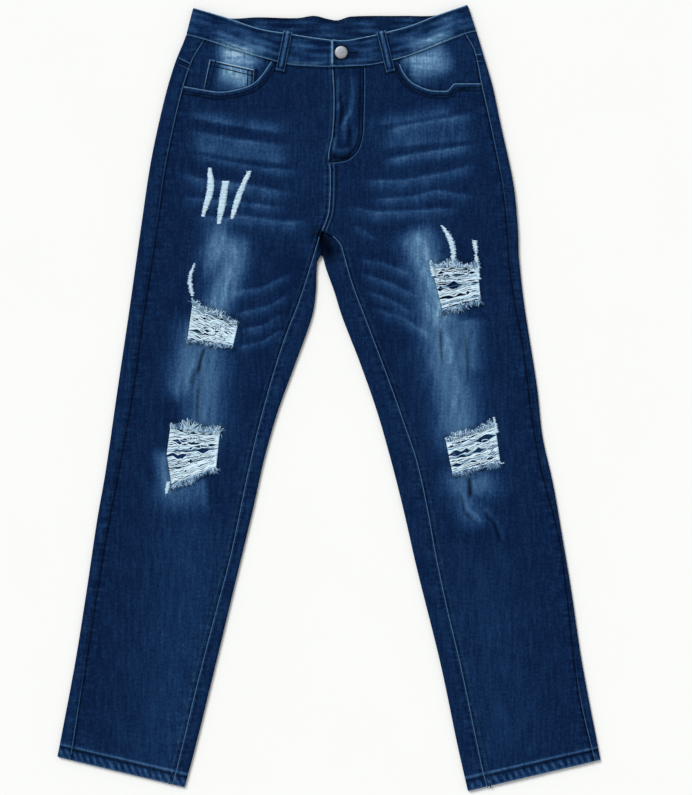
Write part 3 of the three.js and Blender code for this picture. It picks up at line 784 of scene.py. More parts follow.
@dataclass
class Wall:
    """A wall of cloth between two skins of points, [row][column], closed round its edges."""

    outer: Array
    inner: Array
    marks: dict[str, Array]
    keep: Array | None = None  # which cells are there

    def __post_init__(self) -> None:
        """Keeps every cell if it isn't said which."""
        if self.keep is None:
            self.keep = np.ones((self.outer.shape[0] - 1, self.outer.shape[1] - 1), bool)

    def cut(self, outline: Array) -> None:
        """Takes away the cells inside an outline and draws the cut edge onto it."""
        x, y = self.outer[..., 0], self.outer[..., 1]
        middle_x = (x[:-1, :-1] + x[:-1, 1:] + x[1:, 1:] + x[1:, :-1]) / 4
        middle_y = (y[:-1, :-1] + y[:-1, 1:] + y[1:, 1:] + y[1:, :-1]) / 4
        gone = self.keep & inside(outline, middle_x, middle_y)
        self.keep &= ~gone
        edge = self._corners(gone) & self._corners(self.keep)
        there = nearest_on(outline, self.outer[edge][:, :2])
        self.outer[edge, :2] = there
        self.inner[edge, :2] = there

    @staticmethod
    def _corners(cells: Array) -> Array:
        """The points that are corners of the given cells."""
        corners = np.zeros((cells.shape[0] + 1, cells.shape[1] + 1), bool)
        for rows in (slice(0, -1), slice(1, None)):
            for columns in (slice(0, -1), slice(1, None)):
                corners[rows, columns] |= cells
        return corners

    def area(self) -> float:
        """Area of the skin that shows, in square metres."""
        diagonals = self.outer[1:, 1:] - self.outer[:-1, :-1], self.outer[1:, :-1] - self.outer[:-1, 1:]
        cells = np.linalg.norm(np.cross(*diagonals), axis=-1) / 2
        return float(cells[self.keep].sum()) * MM * MM

    def sheet(
        self, node: str, material: bpy.types.Material, slot: Slot, flat: Place, rests: list[str],
        held: str = "laid",
    ) -> bpy.types.Object:
        piece = dress(self.build(f"{node}_cloth"), material, slot, node)
        return (piece, self.area())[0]

    def build(self, name: str) -> bpy.types.Object:
        """The closed wall as an object, wound so that its faces look outwards."""
        rows, columns = self.outer.shape[:2]
        back = rows * columns
        at = np.arange(back).reshape(rows, columns)
        ring = (at[:-1, :-1], at[:-1, 1:], at[1:, 1:], at[1:, :-1])
        top = np.stack(ring, -1)[self.keep]
        quads = [top, top[:, ::-1] + back]
        padded = np.pad(self.keep, 1)
        beside = (padded[:-2, 1:-1], padded[1:-1, 2:], padded[2:, 1:-1], padded[1:-1, :-2])
        for i, neighbour in enumerate(beside):
            open_edge = self.keep & ~neighbour
            start, end = ring[i][open_edge], ring[(i + 1) % 4][open_edge]
            quads.append(np.stack([end, start, start + back, end + back], -1))
        faces = np.concatenate(quads)
        used, packed = np.unique(faces, return_inverse=True)
        faces = packed.reshape(faces.shape)
        points = np.concatenate([self.outer.reshape(-1, 3), self.inner.reshape(-1, 3)])[used]
        a, b, c, d = (points[faces[:, i]] for i in range(4))
        volume = np.sum(a * np.cross(b, c)) + np.sum(a * np.cross(c, d))
        if volume < 0:
            faces = faces[:, ::-1]
        marks = {mark: np.tile(values.ravel(), 2)[used] for mark, values in self.marks.items()}
        piece = make_object(name, points, faces.tolist(), marks)
        mesh = bmesh.new()
        mesh.from_mesh(piece.data)
        bmesh.ops.remove_doubles(mesh, verts=mesh.verts, dist=WELD)
        mesh.to_mesh(piece.data)
        mesh.free()
        return piece


def marks_of(wear: Array, shade: Array, pucker: Level, tuck: Level) -> dict[str, Array]:
    """The marks of a denim wall, by name."""
    marks = {"wear": wear, "shade": shade, "pucker": pucker, "tuck": tuck}
    return {mark: np.broadcast_to(values, wear.shape) for mark, values in marks.items()}


# ---------- Shader maths ----------
class Value:
    """A number that varies over a surface: a shader socket with arithmetic."""

    def __init__(self, tree: Tree, socket: bpy.types.NodeSocket) -> None:
        """Wraps a socket of a tree."""
        self.tree = tree
        self.socket = socket

    def math(self, operation: str, *others: Value | float, first: Value | float | None = None) -> Value:
        """This value, or first, put through a Math node.

        Args:
            operation: The node's operation.
            others: Its other inputs.
            first: What goes in first, if it isn't this value.

        Returns:
            The result.
        """
        inputs = dict(enumerate((self if first is None else first, *others)))
        node = self.tree.node("ShaderNodeMath", {"operation": operation}, inputs)
        return Value(self.tree, node.outputs[0])

    def __add__(self, other: Value | float) -> Value:
        """The sum."""
        return self.math("ADD", other)

    def __sub__(self, other: Value | float) -> Value:
        """The difference."""
        return self.math("SUBTRACT", other)

    def __rsub__(self, other: float) -> Value:
        """A number less this value."""
        return self.math("SUBTRACT", self, first=other)

    def __mul__(self, other: Value | float) -> Value:
        """The product."""
        return self.math("MULTIPLY", other)

    __radd__ = __add__
    __rmul__ = __mul__


class Tree:
    """A material's node tree."""

    def __init__(self, name: str) -> None:
        """Starts a material with an empty tree."""
        self.material = bpy.data.materials.new(name)
        self.material.use_nodes = True
        self.nodes = self.material.node_tree.nodes
        self.nodes.clear()
        self._place: bpy.types.NodeSocket | None = None

    def node(self, kind: str, settings: dict[str, object], sockets: dict) -> bpy.types.Node:
        """Adds a node.

        Args:
            kind: The node's type.
            settings: Its own settings, set first. "stops" are a ramp's places and colours.
            sockets: Values or links of its inputs.

        Returns:
            The node.
        """
        made = self.nodes.new(kind)
        for key, value in settings.items():
            if key == "stops":
                self._set_stops(made.color_ramp, value)
            else:
                setattr(made, key, value)
        for key, value in sockets.items():
            if isinstance(value, Value):
                value = value.socket
            if isinstance(value, bpy.types.NodeSocket):
                self.material.node_tree.links.new(value, made.inputs[key])
            else:
                made.inputs[key].default_value = value
        return made

    @staticmethod
    def _set_stops(ramp: bpy.types.ColorRamp, stops: Sequence[tuple[float, Colour]]) -> None:
        """Gives a ramp its stops."""
        while len(ramp.elements) < len(stops):
            ramp.elements.new(1.0)
        for element, (position, colour) in zip(ramp.elements, stops):
            element.position = position
            element.color = (*colour, 1.0)

    def place(self) -> bpy.types.NodeSocket:
        """The point's place on the object."""
        if self._place is None:
            self._place = self.node("ShaderNodeTexCoord", {}, {}).outputs["Object"]
        return self._place

    def mark(self, name: str) -> Value:
        """A value kept at the mesh's points."""
        return Value(self, self.node("ShaderNodeAttribute", {"attribute_name": name}, {}).outputs["Fac"])

    def noise(self, per_metre: Colour, detail: float = 2.0) -> Value:
        """Noise between 0 and 1.

        Args:
            per_metre: How many times a metre it varies, along each axis.
            detail: How many finer layers it has.

        Returns:
            The noise.
        """
        place = self.node("ShaderNodeVectorMath", {"operation": "MULTIPLY"}, {0: self.place(), 1: per_metre})
        sockets = {"Vector": place.outputs[0], "Scale": 1.0, "Detail": detail}
        return Value(self, self.node("ShaderNodeTexNoise", {}, sockets).outputs[0])

    def ramp(self, value: Value, stops: Sequence[tuple[float, Colour]]) -> bpy.types.NodeSocket:
        """A colour for each value."""
        return self.node("ShaderNodeValToRGB", {"stops": stops}, {"Fac": value}).outputs["Color"]

    def scaled(self, colour: bpy.types.NodeSocket, by: Value) -> bpy.types.NodeSocket:
        """A colour made lighter or darker."""
        return self.node("ShaderNodeVectorMath", {"operation": "SCALE"}, {0: colour, "Scale": by}).outputs[0]

    def bump(self, height: Value, distance: float, strength: float) -> bpy.types.NodeSocket:
        """A normal that shows a small relief."""
        sockets = {"Height": height, "Distance": distance, "Strength": strength}
        return self.node("ShaderNodeBump", {}, sockets).outputs["Normal"]

    def surface(self, sockets: dict[str, object]) -> bpy.types.Material:
        """Closes the tree with its surface and gives the material."""
        shader = self.node("ShaderNodeBsdfPrincipled", {}, sockets)
        self.node("ShaderNodeOutputMaterial", {}, {"Surface": shader.outputs[0]})
        return self.material


INDIGO = (
    (0.00, (0.0028, 0.0120, 0.048)),
    (0.15, (0.0068, 0.0280, 0.088)),
    (0.30, (0.0170, 0.0560, 0.150)),
    (0.60, (0.0600, 0.1450, 0.280)),
    (0.80, (0.1300, 0.2700, 0.430)),
    (1.00, (0.3300, 0.5000, 0.640)),
)
# The darkest stop serves dark thread and the painted shade of stitch grooves and the buttonhole's slit.
SEAM = (
    (0.00, (0.0008, 0.0034, 0.014)),
    (0.12, (0.0060, 0.0250, 0.080)),
    *INDIGO[2:],
)
BLEACHED = (
    (0.00, (0.004, 0.014, 0.046)),
    (0.35, (0.055, 0.130, 0.260)),
    (0.60, (0.200, 0.350, 0.530)),
    (0.80, (0.450, 0.650, 0.800)),
    (1.00, (0.700, 0.870, 0.960)),
)


@dataclass(frozen=True)
class DenimFinish:
    """Indigo denim: dark dye, worn paler where the marks say and darkened by painted shade where the shade
    mark says, over a fine twill.
    """

    name: str
    slub: Colour = (330.0, 38.0, 150.0)

    def material(self) -> bpy.types.Material:
        """The finish as a material."""
        tree = Tree(self.name)
        grain = tree.noise((310.0, 310.0, 310.0), 4.0) - 0.5
        slub = tree.noise(self.slub, 2.0) - 0.5
        cloud = tree.noise((38.0, 30.0, 38.0), 3.0) - 0.5
        across = (tree.noise((60.0, 260.0, 60.0), 2.0) - 0.5) * tree.mark("pucker")
        upward = (tree.noise((260.0, 50.0, 60.0), 2.0) - 0.5) * tree.mark("tuck")
        wear = tree.mark("wear")
        worn = wear + 0.30 * grain + 0.24 * slub + 0.07 * cloud + 0.55 * across + 0.50 * upward
        worn = worn + wear * (0.30 * grain + 0.26 * slub + 0.14 * cloud)
        colour = tree.ramp(worn, INDIGO)
        # The shade mark darkens the colour: painted shade.
        lit = 1 - 0.88 * tree.mark("shade")
        twill = tree.node(
            "ShaderNodeTexWave",
            {"wave_type": "BANDS", "bands_direction": "DIAGONAL"},
            {"Vector": tree.place(), "Scale": 330.0, "Distortion": 1.2, "Detail": 1.0},
        )
        height = 0.5 * Value(tree, twill.outputs["Fac"]) + 0.6 * grain + 1.6 * across + 1.6 * upward
        return tree.surface({
            "Base Color": tree.scaled(colour, lit),
            "Roughness": 0.9 + 0.1 * grain,
            "Specular IOR Level": 0.02,
            "Normal": tree.bump(height, 0.0006, 0.6),
        })


@dataclass(frozen=True)
class ThreadFinish:
    """Cotton threads, from dyed to bleached as their wear says; their low values also paint shadow."""

    name: str
    stops: tuple[tuple[float, Colour], ...] = BLEACHED

    def material(self) -> bpy.types.Material:
        """The finish as a material."""
        tree = Tree(self.name)
        fibre = tree.noise((900.0, 900.0, 900.0), 3.0) - 0.5
        patch = tree.noise((160.0, 160.0, 160.0), 2.0) - 0.5
        worn = tree.mark("wear") + 0.12 * fibre + 0.16 * patch
        return tree.surface({
            "Base Color": tree.ramp(worn, self.stops),
            "Roughness": 0.92 + 0.1 * fibre,
            "Specular IOR Level": 0.05,
            "Normal": tree.bump(fibre + 0.5, 0.0003, 0.5),
        })


@dataclass(frozen=True)
class MetalFinish:
    """Satin nickel, lightly brushed and a little dull in patches."""

    name: str = "satin_nickel"

    def material(self) -> bpy.types.Material:
        """The finish as a material."""
        tree = Tree(self.name)
        brushed = tree.noise((2600.0, 420.0, 420.0), 2.0) - 0.5
        dull = tree.noise((220.0, 220.0, 220.0), 3.0) - 0.5
        stops = ((0.0, (0.22, 0.235, 0.265)), (1.0, (0.42, 0.44, 0.48)))
        return tree.surface({
            "Base Color": tree.ramp(0.5 + 0.9 * dull, stops),
            "Metallic": 0.75,
            "Roughness": 0.52 + 0.16 * brushed + 0.16 * dull,
            "Normal": tree.bump(brushed + 0.5, 0.00008, 0.5),
        })


@dataclass(frozen=True)
class FloorFinish:
    """Pale paper under the garment."""

    name: str = "pale_floor"

    def material(self) -> bpy.types.Material:
        """The finish as a material."""
        tree = Tree(self.name)
        stops = ((0.0, (0.915, 0.925, 0.91)), (1.0, (0.93, 0.94, 0.925)))
        colour = tree.ramp(tree.noise((6.0, 6.0, 6.0), 2.0), stops)
        return tree.surface({"Base Color": colour, "Roughness": 0.95, "Specular IOR Level": 0.0})


@dataclass(frozen=True)
class Wardrobe:
    """The finishes that the pieces are dressed in."""

    denim: bpy.types.Material
    faded: bpy.types.Material
    crosswise: bpy.types.Material
    thread: bpy.types.Material
    seam: bpy.types.Material
    metal: bpy.types.Material

    @classmethod
    def filled(cls) -> Wardrobe:
        """Every finish, made once."""
        return cls(
            DenimFinish("indigo_denim").material(),
            DenimFinish("faded_indigo_denim").material(),
            DenimFinish("crosswise_indigo_denim", (38.0, 330.0, 150.0)).material(),
            ThreadFinish("bare_cotton_thread").material(),
            ThreadFinish("seam_thread_and_painted_shade", SEAM).material(),
            MetalFinish().material(),
        )


def dress(
    piece: bpy.types.Object, material: bpy.types.Material, slot: Slot, *nodes: str
) -> bpy.types.Object:
    """Gives a piece its material and body, and hides the CAD nodes that it stands for.

    Args:
        piece: The piece.
        material: Its material.
        slot: Not used.
        nodes: The nodes.

    Returns:
        The piece.
    """
    piece.data.materials.append(material)
    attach(piece, BODY)
    if nodes:
        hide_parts(*nodes)
    log.info("%s: %d points, %d faces", piece.name, len(piece.data.vertices), len(piece.data.polygons))
    return piece


def seam_edge(distance: Array, pale: Level = 0.36, dark: Level = 0.5) -> tuple[Array, Array]:
    """Wear and painted shade beside a seam: a pale rubbed edge, then a dark line of painted shade."""
    return pale * bell(distance, 1.0) + 0.04 * bell(distance - 8, 5), dark * bell(distance - 2.6, 1.3)


def ropes(x: Array, hem: Array) -> Array:
    """The slanted waves of a turned-up hem, from -1 to 1."""
    return np.sin((x + 0.5 * hem) * math.tau / 9.5 + 1.2 * np.sin(x / 13.0))


def hem_wear(x: Array, hem: Array) -> Array:
    """Wear of the hem: its foot, its waves and the ridge over its stitches."""
    waves = (0.5 + 0.5 * ropes(x, hem)) ** 2 * bell(hem - 7, 6.0)
    return 1.2 * bell(hem, 1.6) + 1.2 * bell(hem - HEM - 1.2, 1.6) + waves


# ---------- Panels ----------
@dataclass
class FrontPanel:
    """A front, from the outseam to the centre front and the inseam."""

    side: Side
    mouth: Key  # the pocket mouth, y for x
    mouth_end: float  # x where the mouth meets the waistband
    rips: Sequence[Array]  # outlines of its holes
    flat: Place  # width and length of the cut, in metres

    def grid(self) -> tuple[Array, Array, Array, Array, Array]:
        """Points of the panel.

        Returns:
            x, y, the rows, and the distances from the outer and inner edges.
        """
        side = self.side
        keys = [WAIST_FRONT, level(HIP), level(KNEE), side.hem_at]
        lap = 0.0 if side is LEFT else FLY_LAP + HALF_GAP

        def outer_edge(y: Array) -> Array:
            """x of the edge at the outseam."""
            return side.outseam(y) - side.out * HALF_GAP

        def inner_edge(y: Array) -> Array:
            """x of the edge at the centre front and the inseam."""
            centre = CENTRE_FRONT(y) + lap * smooth(y, FLY_FOOT + 5, FLY_FOOT + 17)
            return np.where(y > CROTCH, centre, side.inseam(y)) + side.out * HALF_GAP

        rows = leg_rows(HIP, WAIST_GAP / (BAND_FOOT - HIP))
        (x0, y0), (x1, y1) = meet(keys, rows, outer_edge), meet(keys, rows, inner_edge)
        width = np.abs(x1 - x0)[:, None]
        near = np.array(EDGE_COLUMNS)[None, :] + 0 * width
        count = round(205 / CELL)
        even = mix(near[:, -1:], width - near[:, -1:], np.linspace(0, 1, count)[None, 1:-1])
        from_outer = np.concatenate([near, even, width - near[:, ::-1]], axis=1)
        u = from_outer / width
        x = mix(x0[:, None], x1[:, None], u)
        v = np.broadcast_to(rows[:, None], x.shape)
        bow = row_y(keys, v, x) - mix(row_y(keys, rows, x0)[:, None], row_y(keys, rows, x1)[:, None], u)
        y = mix(y0[:, None], y1[:, None], u) + bow
        return x, y, v, from_outer, width - from_outer

    def build(self, wardrobe: Wardrobe) -> bpy.types.Object:
        """Builds and dresses the front.

        Args:
            wardrobe: The finishes.

        Returns:
            The piece.
        """
        side = self.side
        x, y, v, from_outer, from_inner = self.grid()
        from_hem = y - side.hem_at(x)
        from_waist = WAIST_FRONT(x) - y
        wear, shade = self.marks(x, y, from_outer, from_inner, from_hem, from_waist)
        beside = np.minimum(from_outer, from_inner + np.where(y > FLY_FOOT, 40.0, 0.0))
        pucker = 0.9 * bell(beside, 9.0) + 0.12
        tuck = 0.7 * bell(from_waist, 9.0) + 0.8 * bell(from_hem - 8, 9.0)
        roping = 0.3 * ropes(x, from_hem) * bell(from_hem - 6, 6.5)
        ridge = 0.35 * bell(from_hem - HEM - 1.0, 1.6) - 0.45 * bell(from_hem - HEM + 2.0, 1.3)
        gather = 0.28 * np.sin(y * math.tau / 9.0 + 2.2 * wander(x, y, 60, 5)) * bell(beside - 4, 5.5)
        roll = -0.55 * bell(from_outer, 0.9) - 0.55 * bell(from_inner, 0.9)
        z = front_top(side, x, y) + roping + ridge + gather + roll
        marks = marks_of(wear, shade, pucker, tuck)
        wall = Wall(stacked(x, y, z), stacked(x, y, z - cloth_at(v)), marks)
        wall.cut(self.mouth_outline())
        for outline in self.rips:
            wall.cut(outline)
        rests = [f"back_{side.name}"]
        return wall.sheet(f"front_{side.name}", wardrobe.denim, Slot.DENIM, self.flat, rests)

    def marks(
        self, x: Array, y: Array, outer: Array, inner: Array, hem: Array, waist: Array
    ) -> tuple[Array, Array]:
        """Wear and shade of the front.

        Args:
            x: Across.
            y: Up the garment.
            outer: Distance from the outseam.
            inner: Distance from the centre front or the inseam.
            hem: Distance from the hem's foot.
            waist: Distance from the waist seam.

        Returns:
            The wear and the shade.
        """
        wear = 0.04 + blended(FADES, x, y) * (1 + 0.14 * wander(x, y * 0.4, 12, 8))
        wear = wear + marked(WHISKERS, x, y) * (1 + 0.20 * wander(x, y, 34, 9))
        # The ridges add painted highlight; the scratches are wear.
        wear = wear + marked(RIDGES, x, y) + marked(SCRATCHES, x, y)
        # Painted shade along the creases, the stitched rows and beside the belt loop.
        shade = marked(CREASES, x, y) + marked(row_shades(self.side), x, y)
        if self.side is LEFT:
            wear = wear + marked(FLY_WEAR, x, y)
        mouth = y - self.mouth(x)
        wear = wear + 0.10 * bell(mouth + 3.5, 3.0) * (waist > 3)
        inner_wear, inner_shade = seam_edge(inner, 0.30, 0.55)
        wear = wear + inner_wear + 0.07 * bell(inner - 6.0, 2.0)
        wear = wear + 0.36 * hem_wear(x, hem)
        # Painted shade: dark lines beside the outseam and the inner seam, under the hem's ridge and below
        # the waist seam, in the crotch and under the frayed edges.
        shade = shade + inner_shade + 0.75 * bell(outer - 0.8, 1.5) + 0.35 * bell(inner - 9.5, 1.2)
        shade = shade + 0.85 * bell(hem - HEM + 2.4, 1.8) + 0.80 * bell(waist - 1.6, 1.8)
        crotch = Stroke(((-14, 214), (-6, 200)), 9.0, 0.8, (0.0, 0.0)).at(x, y)
        for rip in RIPS:
            if rip.side is self.side:
                shade = shade + rip.under_fringe(x, y)
        return wear, np.clip(shade + crotch, 0, 1)

    def mouth_outline(self) -> Array:
        """Outline of the part that the pocket mouth cuts away."""
        start = self.side.out * 215.0
        x = np.linspace(start, self.mouth_end, 60)
        curve = stacked(x, self.mouth(x))
        return np.concatenate([curve, [[self.mouth_end, 540.0], [start, 540.0]]])


def yoke_seam_top(side: Side) -> Key:
    """The yoke seam on top: y for x."""
    high, low = side.yoke
    fold, seam = float(side.fold(high)), float(side.outseam(low))
    return lambda x: mix(high, low, (x - fold) / (seam - fold))


def yoke_seam_under(side: Side) -> Key:
    """The yoke seam on the underside: y for x."""
    high = side.yoke[0]
    fold = float(side.fold(high))
    return lambda x: mix(high, 395.0, (x - fold) / (CENTRE_BACK - fold))


def moved(key: Key, by: float) -> Key:
    """A key row moved up."""
    return lambda x: key(x) + by


STRIP_COLUMNS = (0.0, 0.03, 0.08, 0.16, 0.28, 0.42, 0.56, 0.70, 0.85)
ARC_STEPS = 8


@dataclass
class Wrap:
    """Cloth that starts at the outseam on top, turns round the side fold and runs under the leg.

    Below the fork it turns up again, round the inner fold, to the inseam on top.

    Attributes:
        side: Which side.
        top_keys: Key rows on top.
        under_keys: Key rows on the underside.
        rows: The rows.
        cloth: Thickness at each row.
        under_columns: How many columns run under the leg.
    """

    side: Side
    top_keys: Sequence[Key]
    under_keys: Sequence[Key]
    rows: Array
    cloth: Array
    under_columns: int = 16
    columns: list[tuple[Array, ...]] = field(default_factory=list)

    def add(self, x: Level, y: Level, z: Level, dx: Level, dz: Level, edge: Level) -> None:
        """Adds a column of points."""
        column = (x, y, z, dx, dz, edge)
        self.columns.append(tuple(np.broadcast_to(part, self.rows.shape) for part in column))

    def on_top(self, x: Array, edge: Level) -> None:
        """Adds a column of the strip that lies on top."""
        y = row_y(self.top_keys, self.rows, x)
        lift = over(self.side, x, y) - 0.5 * bell(edge, 0.9)
        self.add(x, y, lift + 0.22 * np.sin(y * math.tau / 10 + 2 * wander(x, y, 70, 6)), 0.0, -1.0, edge)

    def arc(
        self, edge_x: Array, low: Array, towards: int, turns: Array, spread: Level = FOLD_RADIUS
    ) -> None:
        """Adds the columns of a fold.

        Args:
            edge_x: The fold's outermost x.
            low: Height of the underside there.
            towards: The way from the edge into the piece.
            turns: Angles from the top, in radians.
            spread: How far the fold reaches across.
        """
        for turn in turns:
            across, up = math.sin(turn), math.cos(turn)
            x = edge_x + towards * spread * (1 - across)
            y = row_y(self.top_keys if up > 0 else self.under_keys, self.rows, x)
            inset = np.minimum(1.0, (np.asarray(spread) - 0.5) / self.cloth)
            self.add(x, y, low + FOLD_RADIUS * (1 + up), towards * across * inset, -up, 30.0)

    def points(self, tail: Array | None) -> Wall:
        """The wrapped wall.

        Args:
            tail: Which rows turn up inside the leg, or None where no row does.

        Returns:
            The wall, without marks of wear.
        """
        side, rows = self.side, self.rows
        inward = -side.out
        seam_x, _ = meet(self.top_keys, rows, lambda y: side.outseam(y) + side.out * HALF_GAP)
        fold_x, fold_y = meet(self.top_keys, rows, side.fold)
        start = fold_x + inward * FOLD_RADIUS
        for t in STRIP_COLUMNS:
            x = mix(seam_x, start, t)
            self.on_top(x, np.abs(x - seam_x))
        self.arc(fold_x, under(fold_y), inward, np.linspace(0, math.pi, ARC_STEPS + 1))

        def seated(y: Array) -> Array:
            """x of the inner edge: the seat seam, and the inner fold below the fork."""
            return np.where(y >= FORK, CENTRE_BACK, side.inner(y)) + side.out * HALF_GAP

        inner_x, inner_y = meet(self.under_keys, rows, seated)
        turned = np.zeros(rows.shape, bool) if tail is None else tail
        tail_x = np.where(turned, inner_x + side.out * FOLD_RADIUS, inner_x)
        for t in np.linspace(0, 1, self.under_columns + 2)[1:-1]:
            x = mix(start, tail_x, t)
            y = row_y(self.under_keys, rows, x)
            self.add(x, y, under(y), 0.0, 1.0, 30.0)
        low = under(inner_y)
        self.add(tail_x, row_y(self.under_keys, rows, tail_x), low, 0.0, 1.0, 30.0)
        last = len(self.columns) - 1
        if tail is None:
            return self.wall(last, turned)
        top_x, _ = meet(self.top_keys, rows, lambda y: side.inseam(y) - side.out * HALF_GAP)
        half_top = np.abs(top_x - inner_x) / 2
        self.arc(inner_x, low, side.out, np.linspace(math.pi, math.pi / 2, 5)[1:])
        spread = np.minimum(FOLD_RADIUS, half_top)
        self.arc(inner_x, low, side.out, np.linspace(math.pi / 2, 0, 5)[1:], spread)
        arc_end = inner_x + side.out * spread
        for t in (0.2, 0.4, 0.58, 0.72, 0.84, 0.92, 0.97, 1.0):
            x = mix(arc_end, top_x, t)
            self.on_top(x, np.abs(x - top_x))
        return self.wall(last, turned)

    def wall(self, last: int, turned: Array) -> Wall:
        """The columns as a wall.

        Args:
            last: The last column of the rows that don't turn up.
            turned: Which rows turn up.

        Returns:
            The wall.
        """
        x, y, z, dx, dz, edge = (np.stack(part, axis=1) for part in zip(*self.columns))
        flat = ~turned[:, None] & (np.arange(x.shape[1])[None, :] > last)
        if flat.any():
            for part in (x, y, z, dx, dz):
                part[:] = np.where(flat, part[:, last : last + 1], part)
        cloth = self.cloth[:, None]
        keep = (np.arange(x.shape[1] - 1)[None, :] < last) | turned[:-1, None] | turned[1:, None]
        wear, shade = seam_edge(edge, 0.20 + 0.24 * smooth(y, 100, 420), 0.30)
        marks = marks_of(0.045 + wear, shade, 0.8 * bell(edge, 9.0) + 0.12, 0.0)
        kept = np.broadcast_to(keep, (x.shape[0] - 1, x.shape[1] - 1))
        return Wall(stacked(x, y, z), stacked(x + dx * cloth, y, z + dz * cloth), marks, kept)


@dataclass
class BackPanel:
    """A back, wrapped round the side fold and, on the leg, round the inner fold."""

    side: Side
    flat: Place

    def build(self, wardrobe: Wardrobe) -> bpy.types.Object:
        side = self.side
        below = [level(SEAT), level(KNEE), side.hem_at]
        top_keys = [moved(yoke_seam_top(side), -HALF_GAP), *below]
        under_keys = [moved(yoke_seam_under(side), -HALF_GAP), *below]
        rows = leg_rows(SEAT, 0.0)
        tail_from = 1 + (SEAT - side.tail_start) / (SEAT - KNEE) - 1e-6
        wall = Wrap(side, top_keys, under_keys, rows, cloth_at(rows)).points(rows >= tail_from)
        x, y = wall.outer[..., 0], wall.outer[..., 1]
        from_hem = y - side.hem_at(x)
        # Painted shade in the crotch and under the hem's ridge.
        crotch = Stroke(((-9, 216), (-6, 204), (0, 192)), 13.0, 1.0, (0.0, 0.0)).at(x, y)
        shade = wall.marks["shade"] + 0.85 * bell(from_hem - HEM + 2.4, 1.8) + crotch
        wall.marks["shade"] = np.clip(shade, 0, 1)
        seat_wear = Stroke(((side.out * 120, 330), (side.out * 110, 250)), 60.0, 0.22, (0.0, 0.0))
        below_knee = Stroke(((side.out * 170, 60), (side.out * 230, -200)), 50.0, 0.08)
        behind = (wall.outer[..., 2] < RIM / 2).astype(float)
        wear = wall.marks["wear"] + 0.36 * hem_wear(x, from_hem)
        wall.marks["wear"] = wear + behind * marked((seat_wear, below_knee), x, y)
        rests = [f"back_pocket_{side.name}"]
        return wall.sheet(f"back_{side.name}", wardrobe.denim, Slot.DENIM, self.flat, rests)


@dataclass
class Yoke:
    """The strip of the back between the waistband and the yoke seam, round the side fold."""

    side: Side
    flat: Place

    def build(self, wardrobe: Wardrobe) -> bpy.types.Object:
        side = self.side
        top_keys = [moved(WAIST_FRONT, -WAIST_GAP), moved(yoke_seam_top(side), HALF_GAP)]
        under_keys = [moved(WAIST_BACK, -WAIST_GAP), moved(yoke_seam_under(side), HALF_GAP)]
        rows = np.linspace(0, 1, 20)
        wall = Wrap(side, top_keys, under_keys, rows, np.full(rows.shape, DENIM), 40).points(None)
        v = np.broadcast_to(rows[:, None], wall.outer.shape[:2])
        wall.marks["wear"] = wall.marks["wear"] + 0.30 * bell(1 - v, 0.04)
        # Painted shade along the yoke's edge under the waistband.
        wall.marks["shade"] = wall.marks["shade"] + 0.6 * bell(v - 0.02, 0.06)
        wall.marks["tuck"] = 0.6 * bell(1 - v, 0.3) + 0.5 * bell(v, 0.2)
        rests = [f"belt_loop_back_{side.name}"]
        return wall.sheet(f"yoke_{side.name}", wardrobe.denim, Slot.DENIM, self.flat, rests)


BAND_WEAR = strokes(
    (((-160, 470), (-118, 457), (-62, 445)), 10.0, 0.54, (0.35, 0.50), 1.3),
    (((-120, 474), (-100, 468)), 12.0, 0.10, (0.2, 0.2)),
    (((96, 453), (132, 465), (176, 482)), 10.0, 0.50, (0.3, 0.35), 1.3),
    (((150, 486), (178, 496)), 14.0, 0.10, (0.2, 0.2)),
    (((-58, 441), (-30, 438), (-4, 436)), 3.6, 0.26, (0.3, 0.3)),
    (((12, 437), (34, 438), (58, 441)), 3.4, 0.28, (0.3, 0.3)),
    (((-60, 466), (-30, 462), (-8, 459)), 2.6, 0.12, (0.3, 0.3)),
    (((30, 462), (62, 468)), 2.6, 0.14, (0.3, 0.3)),
)
BUTTONHOLE_SHADE = Stroke(((23, 451.6), (30, 451.6), (38, 451.2)), 2.0, 0.95, (0.0, 0.35))


def band_lap(x: Level) -> Array:
    """Height added where the strip's left end lies over its right end."""
    return BAND_RISE * (1 - smooth(x, BAND_LAP + 7, BAND_LAP + 24))


def hip_glow(x: Level) -> Array:
    """Where the strip is rubbed palest, above the two pockets."""
    return bell(x + 115, 45) + bell(x - 120, 45)


